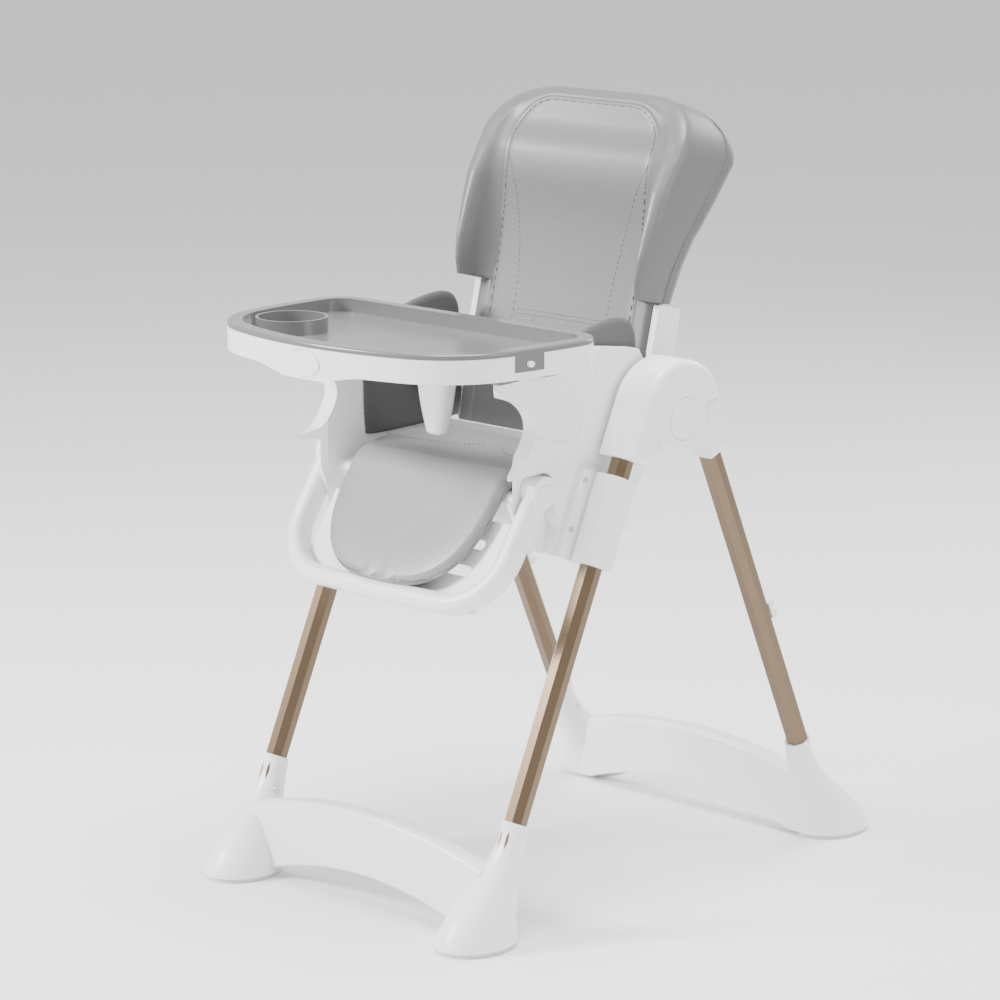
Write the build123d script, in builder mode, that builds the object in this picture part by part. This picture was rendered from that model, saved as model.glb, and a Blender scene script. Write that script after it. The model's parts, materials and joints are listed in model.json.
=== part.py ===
from build123d import *
import os
from math import cos, radians, sin

# A folding baby high chair: an A-frame of four tubes on two cross feet, a seat that slides up and
# down the front tubes, a reclining back, a swinging footrest and a two-layer tray.
# Millimetres. The origin is on the floor, midway between the feet. The child faces -Y, and +X is
# the child's left side.

os.makedirs("parts", exist_ok=True)

# ---------------------------------------------------------------- driving dimensions
LEG_X = 227.5  # middle of each leg tube, measured sideways
LEG_TILT = 24.0  # lean of every leg from vertical, in degrees
PIVOT_Z = 645.0  # height of the folding pivot
LEG_OFFSET = 55.6  # from the pivot to the line of each tube
TUBE_WIDE = 30.0
TUBE_DEEP = 28.0
TUBE_CHAMFER = 8.5
TUBE_WALL = 1.6
TUBE_TOP = 31.0  # the tube stops this far below its nearest point to the pivot
RUB = 0.4  # clearance between surfaces that slide or pass each other
PIN_PLAY = 0.05  # radial play of a pin in its hole

LEAN_S = sin(radians(LEG_TILT))
LEAN_C = cos(radians(LEG_TILT))
LEG_NEAR_Y = LEG_OFFSET * LEAN_C  # where a tube's line passes nearest to the pivot
LEG_NEAR_Z = PIVOT_Z + LEG_OFFSET * LEAN_S
LEG_RUN = LEG_NEAR_Z / LEAN_C  # along the tube, from that point to the floor

SHELL_IN = 174.0  # inner and outer faces of the seat's side walls
SHELL_OUT = 198.0
PAN_TOP = 560.0  # top of the seat pan
ARM_TOP = 731.0  # top of the arms, where the tray rests
TRAY_LOW = ARM_TOP + RUB

BACK_HINGE = (0, 45.0, 610.0)
BACK_TILT = 12.0  # lean of the upright back, in degrees
FOOTREST_PIVOT = (0, -202.5, 568.5)
FOOTREST_TILT = 33.0  # the hanging footrest leans this far forward, in degrees


def leg_plane(side, end):
    """The frame of one tube: z up along it, x sideways. side is +1 or -1, end is -1 front or +1 rear."""
    return Plane(
        origin=(side * LEG_X, end * LEG_NEAR_Y, LEG_NEAR_Z),
        x_dir=(1, 0, 0),
        z_dir=(0, -end * LEAN_S, LEAN_C),
    )


def pivot_plane(x):
    """A side view plane through the folding pivot: its x is +Y and its y is up."""
    return Plane(origin=(x, 0, PIVOT_Z), x_dir=(0, 1, 0), z_dir=(1, 0, 0))


def keep(shape, name):
    """Labels one finished piece and writes it."""
    shape.label = name
    export_step(shape, f"parts/{name}.step")


def keep_pair(shape, name):
    """Writes a piece of the left side and its mirror image for the right side."""
    keep(shape, f"{name}_left")
    keep(mirror(shape, about=Plane.YZ), f"{name}_right")


def keep_both(shape, name):
    """Writes the left side's solids and their mirror images as one group of separate solids."""
    keep(Compound(children=[*shape.solids(), *mirror(shape, about=Plane.YZ).solids()]), name)


# ---------------------------------------------------------------- leg tubes
FOOT_TUBE_END = 70.0  # the tube ends this far short of the floor, inside the foot
SCREW_RUN = 120.0  # where the screw of each foot crosses the tube, along the tube
SCREW_R = 2.5
HOLE_R = 2.6


def tube_space(end, grow, start, stop):
    """The solid space that a left tube fills between two distances from the floor, grown by grow."""
    with BuildPart() as space:
        with BuildSketch(leg_plane(1, end).offset(start - LEG_RUN)) as section:
            Rectangle(TUBE_WIDE + 2 * grow, TUBE_DEEP + 2 * grow)
            chamfer(section.vertices(), TUBE_CHAMFER + 0.6 * grow)
        extrude(amount=stop - start)
    return space.part


def foot_screw_plane(end):
    """Faces along +X, on the line of the screw that holds a left tube in its foot."""
    along = leg_plane(1, end).offset(SCREW_RUN - LEG_RUN).origin
    return Plane(origin=(LEG_X, along.Y, along.Z), x_dir=(0, 1, 0), z_dir=(1, 0, 0))


def leg_tube(end):
    """One hollow leg tube of the left side."""
    outer = tube_space(end, 0, FOOT_TUBE_END, LEG_RUN - TUBE_TOP)
    inner = tube_space(end, -TUBE_WALL, FOOT_TUBE_END - 1, LEG_RUN - TUBE_TOP + 1)
    with BuildPart() as tube:
        add(outer)
        add(inner, mode=Mode.SUBTRACT)
        with BuildSketch(foot_screw_plane(end)):
            Circle(HOLE_R)
        extrude(amount=-TUBE_WIDE, mode=Mode.SUBTRACT)
    return tube.part


keep_pair(leg_tube(-1), "front_leg")
keep_pair(leg_tube(1), "rear_leg")

# ---------------------------------------------------------------- cross feet
PAD_THICK = 6.0  # rubber pad under each foot
FOOT_X = 222.0
FOOT_HALF_X = 47.0
FOOT_HALF_Y = 60.0
FOOT_Y = 347.0  # middle of a front foot's print
REAR_REACH = 19.0  # a rear foot reaches this much further out
BOSS_TOP = 150.0  # height at which the tube leaves the foot
BOSS_WALL = 3.4
ARCH_Y = 322.0  # middle of the arched panel between two feet
ARCH_THICK = 30.0
ARCH_DROP = 30.0  # the arch's top falls this much from its middle to a foot
ARCH_WALL = 4.0


def foot_spot(end, share, back):
    """The middle of a left foot's section: the print's middle, moved back towards the tube."""
    reach = REAR_REACH * share if end > 0 else 0
    return end * (FOOT_Y + reach - back)


def foot_cone(end):
    """The tapered body of a left foot, from its rubber pad up to the tube."""
    boss_plane = leg_plane(1, end).offset(BOSS_TOP / LEAN_C - LEG_RUN)
    with BuildPart() as cone:
        with BuildSketch(Plane.XY.offset(PAD_THICK)):
            with Locations((FOOT_X, foot_spot(end, 1, 0))):
                Ellipse(FOOT_HALF_X, FOOT_HALF_Y)
        with BuildSketch(Plane.XY.offset(26)):
            with Locations((FOOT_X, foot_spot(end, 0.85, 4))):
                Ellipse(FOOT_HALF_X - 4, FOOT_HALF_Y - 5)
        with BuildSketch(Plane.XY.offset(80)):
            with Locations((FOOT_X + 3, foot_spot(end, 0.2, 33))):
                Ellipse(FOOT_HALF_X - 20, FOOT_HALF_Y - 27)
        with BuildSketch(boss_plane):
            Ellipse(TUBE_WIDE / 2 + BOSS_WALL, TUBE_DEEP / 2 + BOSS_WALL)
        loft()
    return cone.part


def foot_hollow(end):
    """The space inside a left foot, open below, where the rubber pad closes it."""
    with BuildPart() as hollow:
        with BuildSketch(Plane.XY.offset(PAD_THICK)):
            with Locations((FOOT_X, foot_spot(end, 1, 0))):
                Ellipse(FOOT_HALF_X - 6, FOOT_HALF_Y - 6)
        with BuildSketch(Plane.XY.offset(26)):
            with Locations((FOOT_X, foot_spot(end, 0.85, 4))):
                Ellipse(FOOT_HALF_X - 10, FOOT_HALF_Y - 12)
        with BuildSketch(Plane.XY.offset(58)):
            with Locations((FOOT_X + 2, foot_spot(end, 0.5, 22))):
                Ellipse(FOOT_HALF_X - 24, FOOT_HALF_Y - 34)
        loft()
    return hollow.part


def arch_panel(end, top, low):
    """The arched panel between the two feet of one end: rounded above, and a channel below."""
    reach = FOOT_X - 4
    inner = reach - 30
    with BuildPart() as arch:
        with BuildSketch(Plane.XZ.offset(-end * ARCH_Y)) as face:
            with BuildLine():
                upper = ThreePointArc((-reach, top - ARCH_DROP), (0, top), (reach, top - ARCH_DROP))
                lower = ThreePointArc((-reach, low - 44), (0, low), (reach, low - 44))
                Line(upper @ 0, lower @ 0)
                Line(upper @ 1, lower @ 1)
            make_face()
            with Locations((0, -60)):
                Rectangle(900, 2 * (60 + PAD_THICK), mode=Mode.SUBTRACT)
        extrude(amount=ARCH_THICK / 2, both=True)
        rims = arch.edges().filter_by(GeomType.CIRCLE).filter_by(lambda e: e.length > 300)
        fillet(rims.sort_by(Axis.Z)[-2:], 9)
        fillet(rims.sort_by(Axis.Z)[:2], 3)
        with BuildSketch(Plane.XZ.offset(-end * ARCH_Y)):
            with BuildLine():
                roof = top - ARCH_WALL - 5
                upper = ThreePointArc((-inner, roof - ARCH_DROP + 4), (0, roof), (inner, roof - ARCH_DROP + 4))
                Polyline(upper @ 0, (-inner, -60), (inner, -60), upper @ 1)
            make_face()
        extrude(amount=ARCH_THICK / 2 - ARCH_WALL, both=True, mode=Mode.SUBTRACT)
    return arch.part


def cross_foot(end, top, low):
    """Two tapered feet joined by an arched panel, with a blind hole for each tube."""
    cone = foot_cone(end)
    panel = arch_panel(end, top, low)
    hollow = foot_hollow(end)
    socket = tube_space(end, 0, FOOT_TUBE_END, 260)
    with BuildPart() as foot:
        add(cone)
        add(mirror(cone, about=Plane.YZ))
        add(panel)
        add(hollow, mode=Mode.SUBTRACT)
        add(mirror(hollow, about=Plane.YZ), mode=Mode.SUBTRACT)
        add(socket, mode=Mode.SUBTRACT)
        add(mirror(socket, about=Plane.YZ), mode=Mode.SUBTRACT)
        for side in (1, -1):
            hole = Plane(
                origin=(side * LEG_X, foot_screw_plane(end).origin.Y, foot_screw_plane(end).origin.Z),
                x_dir=(0, 1, 0),
                z_dir=(-side, 0, 0),
            )
            with BuildSketch(hole):
                Circle(HOLE_R)
            extrude(amount=60, mode=Mode.SUBTRACT)
            with BuildSketch(hole.offset(TUBE_WIDE / 2 + 4)):
                Circle(5.2)
            extrude(amount=60, mode=Mode.SUBTRACT)
    return foot.part


def foot_pads(end):
    """The two rubber pads under one cross foot."""
    with BuildPart() as pads:
        with BuildSketch(Plane.XY):
            with Locations((FOOT_X, foot_spot(end, 1, 0)), (-FOOT_X, foot_spot(end, 1, 0))):
                Ellipse(FOOT_HALF_X - 2, FOOT_HALF_Y - 2)
        extrude(amount=PAD_THICK)
    return pads.part


def foot_screw(end):
    """The screw that holds a left tube in its foot, put in from the inner side."""
    inner = foot_screw_plane(end)
    with BuildPart() as screw:
        with BuildSketch(inner.offset(-TUBE_WIDE / 2 - 4)):
            Circle(SCREW_R)
        extrude(amount=12)
        with BuildSketch(inner.offset(-TUBE_WIDE / 2 - 4)):
            Circle(5)
        extrude(amount=-2.5)
    return screw.part


for END, NAME, TOP, LOW in ((-1, "front", 128, 42), (1, "rear", 118, 38)):
    keep(cross_foot(END, TOP, LOW), f"{NAME}_foot")
    keep(foot_pads(END), f"{NAME}_foot_pads")
    keep_both(foot_screw(END), f"{NAME}_leg_screws")

# ---------------------------------------------------------------- folding hubs
SLEEVE_HALF = 22.0  # half the width of the hub's sleeve around a tube, seen from the side
DOME_R = LEG_OFFSET + SLEEVE_HALF
HUB_IN = 205.0
HUB_SPLIT = 231.5  # the rear hub's disc lies inside this, the front hub's face outside it
HUB_OUT = 262.0
REAR_OUT = 256.0
DISC_R = 48.0  # round face of the front hub, and of the rear hub's disc
DISC_GAP = 1.8
SEAM_ANGLE = 16.0  # where the dome ends, above the rear sleeve, in degrees from level
FRONT_DOWN = 77.0  # the front and rear sleeves reach this far down their tubes
REAR_DOWN = 85.0
PIN_R = 8.0
BUTTON_R = 27.6
BUTTON_DEEP = 12.0
BUTTON_TRAVEL = 4.0
BUTTON_PROUD = 1.5


def polar(angle, radius=200.0):
    """A point of the pivot plane, by angle from level and radius."""
    return (radius * cos(radians(angle)), radius * sin(radians(angle)))


def hub_layer(end, start, stop, middle_r, cut_r):
    """One layer of a hub between two x values: its sleeve, with the dome if it is the front one.

    middle_r is the radius of the round middle, and cut_r that of the round clearance, 0 for none.
    """
    down = FRONT_DOWN if end < 0 else REAR_DOWN
    near = polar(LEG_TILT if end > 0 else 180 - LEG_TILT, LEG_OFFSET)
    away = (end * LEAN_S, -LEAN_C)
    with BuildPart() as layer:
        with BuildSketch(pivot_plane(start)):
            if end < 0:
                Circle(DOME_R)
                with BuildLine():
                    Polyline((0, 0), polar(156), polar(-140), polar(-60), polar(SEAM_ANGLE), close=True)
                make_face(mode=Mode.SUBTRACT)
            lead = 0 if end < 0 else -30
            middle = (down + lead) / 2
            with Locations(Location((near[0] + away[0] * middle, near[1] + away[1] * middle), end * LEG_TILT)):
                Rectangle(2 * SLEEVE_HALF, down - lead)
            if end > 0:
                with BuildLine():
                    Polyline((0, 0), polar(SEAM_ANGLE - 0.6), polar(60), polar(120), close=True)
                make_face(mode=Mode.SUBTRACT)
            if cut_r:
                Circle(cut_r, mode=Mode.SUBTRACT)
            if middle_r:
                Circle(middle_r)
        extrude(amount=stop - start)
    return layer.part


def front_hub():
    """The front hub of the left side: dome, round face and front sleeve in one moulding."""
    face = hub_layer(-1, HUB_SPLIT + RUB / 2, HUB_OUT, DISC_R, 0)
    inner = hub_layer(-1, HUB_IN, HUB_SPLIT + RUB / 2, 0, DISC_R + 2 + DISC_GAP)
    tube = tube_space(-1, 0, FOOT_TUBE_END, LEG_RUN - TUBE_TOP)
    with BuildPart() as hub:
        add(face)
        add(inner)
        outer_edges = hub.faces().sort_by(Axis.X)[-1].outer_wire().edges()
        fillet(outer_edges, 9)
        add(tube, mode=Mode.SUBTRACT)
        with BuildSketch(pivot_plane(HUB_OUT)):
            Circle(BUTTON_R + 0.7)
        extrude(amount=-(BUTTON_DEEP + BUTTON_TRAVEL), mode=Mode.SUBTRACT)
        with BuildSketch(pivot_plane(HUB_IN - 5)):
            Circle(PIN_R)
        extrude(amount=80, mode=Mode.SUBTRACT)
    return hub.part


def rear_hub():
    """The rear hub of the left side: the disc that turns on the pin, and the rear sleeve."""
    face = hub_layer(1, HUB_SPLIT - RUB / 2, REAR_OUT, 0, DISC_R + DISC_GAP)
    inner = hub_layer(1, HUB_IN + 1, HUB_SPLIT - RUB / 2, DISC_R + 2, 0)
    tube = tube_space(1, 0, FOOT_TUBE_END, LEG_RUN - TUBE_TOP)
    with BuildPart() as hub:
        add(face)
        add(inner)
        outer_edges = hub.faces().sort_by(Axis.X)[-1].outer_wire().edges()
        fillet(outer_edges, 6)
        add(tube, mode=Mode.SUBTRACT)
        with BuildSketch(pivot_plane(HUB_IN - 5)):
            Circle(PIN_R + PIN_PLAY)
        extrude(amount=80, mode=Mode.SUBTRACT)
    return hub.part


with BuildPart() as hub_pin:
    with BuildSketch(pivot_plane(HUB_IN - 2.5)):
        Circle(14)
    extrude(amount=3)
    with BuildSketch(pivot_plane(HUB_IN)):
        Circle(PIN_R)
    extrude(amount=HUB_OUT - BUTTON_DEEP - BUTTON_TRAVEL - HUB_IN - 1)

with BuildPart() as fold_button:
    with BuildSketch(pivot_plane(HUB_OUT + BUTTON_PROUD)):
        Circle(BUTTON_R)
    extrude(amount=-(BUTTON_DEEP + BUTTON_PROUD - 0.5))
    fillet(fold_button.edges().group_by(Axis.X)[-1], 1.4)

keep_pair(front_hub(), "front_hub")
keep_pair(rear_hub(), "rear_hub")
keep_both(hub_pin.part, "hub_pins")
keep_pair(fold_button.part, "fold_button")

# ---------------------------------------------------------------- hooks on the rear legs
HOOK_RUN = 373.0  # height of the tray hooks, along the rear tube

with BuildPart() as tray_hook:
    hook_plane = leg_plane(1, 1).offset(HOOK_RUN - LEG_RUN)
    with BuildSketch(hook_plane.offset(-12)):
        with Locations((1.5, TUBE_DEEP / 2 + 2)):
            Rectangle(16, 4)
    extrude(amount=24)
    with BuildSketch(hook_plane.offset(-12)):
        with Locations((1.5, TUBE_DEEP / 2 + 8)):
            Rectangle(16, 8)
    extrude(amount=9)
    with BuildSketch(hook_plane.offset(4)):
        with Locations((1.5, TUBE_DEEP / 2 + 7)):
            Rectangle(16, 6)
    extrude(amount=8)
    fillet(tray_hook.edges().filter_by(Axis.X), 1.6)
keep_both(tray_hook.part, "tray_hooks")

# ---------------------------------------------------------------- sliding sleeves on the front tubes
SLEEVE_LOW = 509.0  # the sleeve's ends, along the tube from the floor
SLEEVE_TOP = 629.0
SLEEVE_WIDE = 44.0
SLEEVE_DEEP = 50.0
FLANGE_THICK = 10.0
FLANGE_EDGE = 42.0  # front edge of the flange, square to the tube
PANEL_EDGE = 48.0  # edge of the recess that the sleeve is fixed in
PANEL_DEEP = 2.0
SLEEVE_SCREWS = (614.0, 548.0)  # along the tube
SLEEVE_SCREW_Y = -34.5  # square to the tube
LEVER_RUN = 585.0
LEVER_LONG = 30.0
LEVER_TRAVEL = 5.0


def sleeve_screw_plane(run):
    """Faces along +X at the shell's side, on the line of one sleeve screw of the left side."""
    spot = leg_plane(1, -1).offset(run - LEG_RUN).from_local_coords((0, SLEEVE_SCREW_Y, 0))
    return Plane(origin=(SHELL_OUT, spot.Y, spot.Z), x_dir=(0, 1, 0), z_dir=(1, 0, 0))


slide_space = tube_space(-1, RUB, SLEEVE_LOW - 5, SLEEVE_TOP + 5)
flange_in = SHELL_OUT - PANEL_DEEP - LEG_X  # the flange's inner face, from the middle of the tube

with BuildPart() as sleeve:
    with BuildSketch(leg_plane(1, -1).offset(SLEEVE_LOW - LEG_RUN)):
        RectangleRounded(SLEEVE_WIDE, SLEEVE_DEEP, 14)
        with Locations((flange_in + FLANGE_THICK / 2, -FLANGE_EDGE / 2)):
            Rectangle(FLANGE_THICK, FLANGE_EDGE)
        with Locations((flange_in + 8, 0)):
            Rectangle(16, SLEEVE_DEEP - 16)
    extrude(amount=SLEEVE_TOP - SLEEVE_LOW)
    add(slide_space, mode=Mode.SUBTRACT)
    for run in SLEEVE_SCREWS:
        with BuildSketch(sleeve_screw_plane(run).offset(-10)):
            Circle(HOLE_R)
        extrude(amount=30, mode=Mode.SUBTRACT)
    with BuildSketch(leg_plane(1, -1).offset(LEVER_RUN - LEVER_LONG / 2 - RUB - LEG_RUN)):
        with Locations((0, SLEEVE_DEEP / 2)):
            Rectangle(20 + 2 * RUB, 16)
    extrude(amount=LEVER_LONG + LEVER_TRAVEL + 2 * RUB, mode=Mode.SUBTRACT)

with BuildPart() as sleeve_screws:
    for run in SLEEVE_SCREWS:
        with BuildSketch(sleeve_screw_plane(run).offset(-16)):
            Circle(SCREW_R)
        extrude(amount=16 + FLANGE_THICK - PANEL_DEEP)
        with BuildSketch(sleeve_screw_plane(run).offset(FLANGE_THICK - PANEL_DEEP)):
            Circle(4)
        extrude(amount=1.8)

with BuildPart() as height_lever:
    with BuildSketch(leg_plane(1, -1).offset(LEVER_RUN - LEVER_LONG / 2 - LEG_RUN)):
        with Locations((0, SLEEVE_DEEP / 2 - 2.5)):
            Rectangle(20, 9)
    extrude(amount=LEVER_LONG)
    with BuildSketch(leg_plane(1, -1).offset(LEVER_RUN - LEVER_LONG / 2 - LEG_RUN)):
        with Locations((0, SLEEVE_DEEP / 2 + 6)):
            Rectangle(20, 10)
    extrude(amount=6)

keep_pair(sleeve.part, "sleeve")
keep_both(sleeve_screws.part, "sleeve_screws")
keep_pair(height_lever.part, "height_lever")

# ---------------------------------------------------------------- moulded seat shell
PAN_THICK = 8.0
PAN_FRONT = -212.0
WALL_SKIN = 179.5  # outside this the wall makes room for the footrest's arm
KNUCKLE_R = 21.0
HINGE_EAR_R = 16.0
HINGE_PIN_R = 5.0
BACK_PIN_IN = 150.0
FOOT_PIN_IN = 176.0
FOOT_PIN_OUT = 202.5
SEAM = 0.8  # width and depth of the fine line where the arm's cover plate ends
BEVEL_REACH = 42.0  # half height of each slanted cut on the wall's front edge
BEVEL_FRONT = -310.0  # forward of the whole wall


def side_wall():
    """The left side wall of the seat, with its arm and the ear of the back hinge."""
    hinge_y, hinge_z = BACK_HINGE[1:]
    with BuildPart() as wall:
        with BuildSketch(Plane.YZ.offset(SHELL_IN)) as outline:
            with BuildLine():
                cut = Spline(
                    (-289, 716), (-274, 700), (-237, 687), (-212, 649), (-236, 609), (-267, 597),
                    tangents=[(0.2, -1), (-1, -0.3)],
                )
                low = Polyline(cut @ 1, (-248, 572), (-226, 514), (-222, 496), (-127, 464), (-46, 519))
                rear = Spline(low @ 1, (-17, 553), (7, 594), (-8, 714), tangents=[(0.83, 0.56), (-0.08, 1)])
                top = Polyline(rear @ 1, (-20, 733), (-94, 743), (-116, 741), (-127, ARM_TOP))
                Polyline(top @ 1, (-289, ARM_TOP), cut @ 0)
            make_face()
            with Locations((hinge_y, hinge_z)):
                Circle(HINGE_EAR_R)
            with BuildLine():
                Polyline((-20, 600), (-20, 650), (hinge_y, hinge_z + 15), (hinge_y, hinge_z - 15), close=True)
            make_face()
        extrude(amount=SHELL_OUT - SHELL_IN)
        with BuildSketch(Plane.YZ.offset(WALL_SKIN)):
            with Locations(FOOTREST_PIVOT[1:]):
                Circle(KNUCKLE_R + 4)
            with BuildLine():
                Polyline(
                    (-178, 566), (-177, 535), (-171, 520), (-181, 484), (-175, 440), (-320, 440), (-320, 590),
                    (-203, 593), close=True,
                )
            make_face()
        extrude(amount=40, mode=Mode.SUBTRACT)
        for inner_y, outer_y, middle_z in ((-262, -292, 705), (-226, -268, 598)):
            with BuildSketch(Plane.XY.offset(middle_z - BEVEL_REACH)):
                with BuildLine():
                    Polyline(
                        (SHELL_IN - 2, inner_y), (SHELL_OUT + 1, outer_y), (SHELL_OUT + 1, BEVEL_FRONT),
                        (SHELL_IN - 2, BEVEL_FRONT), close=True,
                    )
                make_face()
            extrude(amount=2 * BEVEL_REACH, mode=Mode.SUBTRACT)
        with BuildSketch(Plane.YZ.offset(SHELL_IN + 5)):
            with BuildLine():
                Polyline(
                    (-165, 690), (-125, 720), (-35, 720), (-25, 700), (-10, 612), (-38, 548), (-60, 500),
                    (-60, 440), (-150, 440), (-150, 512), (-165, 540), close=True,
                )
            make_face()
        extrude(amount=SHELL_OUT - SHELL_IN - 10, mode=Mode.SUBTRACT)
        with BuildSketch(Plane.YZ.offset(SHELL_IN - 1)):
            with Locations((hinge_y, hinge_z)):
                Circle(HINGE_PIN_R)
        extrude(amount=40, mode=Mode.SUBTRACT)
        with BuildSketch(Plane.YZ.offset(FOOT_PIN_IN)):
            with Locations(FOOTREST_PIVOT[1:]):
                Circle(HINGE_PIN_R)
        extrude(amount=40, mode=Mode.SUBTRACT)
        with BuildSketch(Plane.YZ.offset(SHELL_OUT - SEAM)):
            for start, stop in (((-92, 735), (-140, 624)), ((-140, 624), (-212, 640))):
                with BuildLine():
                    groove = Line(start, stop)
                trace(groove, SEAM)
        extrude(amount=5, mode=Mode.SUBTRACT)
    return wall.part


def sleeve_recess():
    """The shallow recess in the shell's left side where the sleeve is screwed on."""
    with BuildPart() as recess:
        with BuildSketch(leg_plane(1, -1).offset(SLEEVE_LOW - 40 - LEG_RUN)):
            with Locations((SHELL_OUT - PANEL_DEEP - LEG_X + 20, -PANEL_EDGE + 60)):
                Rectangle(40, 120)
        extrude(amount=SLEEVE_TOP + 12 + 40 - SLEEVE_LOW)
        front_top = recess.edges().filter_by(Axis.X).sort_by(Axis.Y)[:2].sort_by(Axis.Z)[-1:]
        fillet(front_top, 12)
    return recess.part


wall = side_wall()
recess = sleeve_recess()
with BuildPart() as seat_shell:
    add(wall)
    add(recess, mode=Mode.SUBTRACT)
    for run in SLEEVE_SCREWS:
        with BuildSketch(sleeve_screw_plane(run).offset(-20)):
            Circle(HOLE_R)
        extrude(amount=30, mode=Mode.SUBTRACT)
    mirror(about=Plane.YZ)
    with BuildSketch(Plane.YZ):
        with BuildLine():
            front = Polyline((-6, 590), (-6, PAN_TOP), (PAN_FRONT + 12, PAN_TOP))
            nose = ThreePointArc(front @ 1, (PAN_FRONT + 3, PAN_TOP - 3), (PAN_FRONT, PAN_TOP - 11))
            Polyline(
                nose @ 1, (-182, 500), (-176, 502), (PAN_FRONT + 8, PAN_TOP - 14),
                (PAN_FRONT + 14, PAN_TOP - PAN_THICK), (-10, PAN_TOP - PAN_THICK), (-14, 530), (-2, 530), (-1, 590),
                close=False,
            )
            Line((-1, 590), (-6, 590))
        make_face()
    extrude(amount=SHELL_IN, both=True)

keep(seat_shell.part, "seat_shell")

with BuildPart() as back_hinge_pin:
    with BuildSketch(Plane.YZ.offset(BACK_PIN_IN)):
        with Locations(BACK_HINGE[1:]):
            Circle(HINGE_PIN_R)
    extrude(amount=SHELL_OUT - BACK_PIN_IN)
keep_both(back_hinge_pin.part, "back_hinge_pins")

with BuildPart() as footrest_pin:
    with BuildSketch(Plane.YZ.offset(FOOT_PIN_IN)):
        with Locations(FOOTREST_PIVOT[1:]):
            Circle(HINGE_PIN_R)
    extrude(amount=FOOT_PIN_OUT - FOOT_PIN_IN)
keep_both(footrest_pin.part, "footrest_pins")

# ---------------------------------------------------------------- seat pads
PAD_HALF = 168.0
PAD_TOP = 585.0

with BuildPart() as seat_pad:
    with BuildSketch(Plane.XY.offset(PAN_TOP + 0.5)):
        with BuildLine():
            Polyline((-PAD_HALF, -10), (-PAD_HALF, -170), (-PAD_HALF + 6, -208), (PAD_HALF - 6, -208),
                     (PAD_HALF, -170), (PAD_HALF, -10), close=True)
        make_face()
    extrude(amount=PAD_TOP - PAN_TOP - 0.5)
    fillet(seat_pad.faces().sort_by(Axis.Z)[-1].edges(), 8)
keep(seat_pad.part, "seat_pad")

with BuildPart() as side_pad:
    with BuildSketch(Plane.YZ.offset(PAD_HALF - 6)):
        with BuildLine():
            front = Polyline((-4, 592), (-160, 592), (-158, 700), (-126, 724))
            crest = Spline(front @ 1, (-95, 757), (-20, 770), (8, 755), tangents=[(0.1, 1), (0.3, -1)])
            Line(crest @ 1, front @ 0)
        make_face()
    extrude(amount=11)
keep_pair(side_pad.part, "seat_side_pad")

# ---------------------------------------------------------------- reclining back
# Heights along the back are from its hinge, and depths are forward of the hinge line.
BACK_TOP = 432.0
BACK_FRONT = 36.8  # front of the padding
BACK_SHEET = 14.0  # front of the moulded back behind the padding
BACK_WALL = 4.0
BACK_HALF = 152.0
WING_CREST = 84.0
WING_LOW = 168.0
RAIL_OUT = 171.0
RAIL_IN = 161.0
HANDLE_LOW = 330.0
HANDLE_DEPTH = -38.0
HANDLE_TRAVEL = 8.0
SHOULDER_R = 62.0  # rounding of the moulded back's top corners


def back_plane(x):
    """A side view plane of the back: its x is forward from the hinge and its y is up the back."""
    turn_s = sin(radians(BACK_TILT))
    turn_c = cos(radians(BACK_TILT))
    return Plane(origin=(x, *BACK_HINGE[1:]), x_dir=(0, -turn_c, turn_s), z_dir=(-1, 0, 0))


def back_outline(inset):
    """Side outline of the moulded back, which deepens towards the head, inset by inset."""
    with BuildSketch() as outline:
        with BuildLine():
            Polyline(
                (BACK_SHEET, -4), (BACK_SHEET, BACK_TOP), (-8, BACK_TOP - 3), (-38, 411), (-60, 384), (-58, 364),
                (-38, 316), (-10, 260), (0, 220), (4, 150), (4, -4), close=True,
            )
        make_face()
        fillet(outline.vertices().sort_by(Axis.X)[:3], 12)
        if inset:
            offset(amount=-inset)
    return outline.sketch


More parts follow.
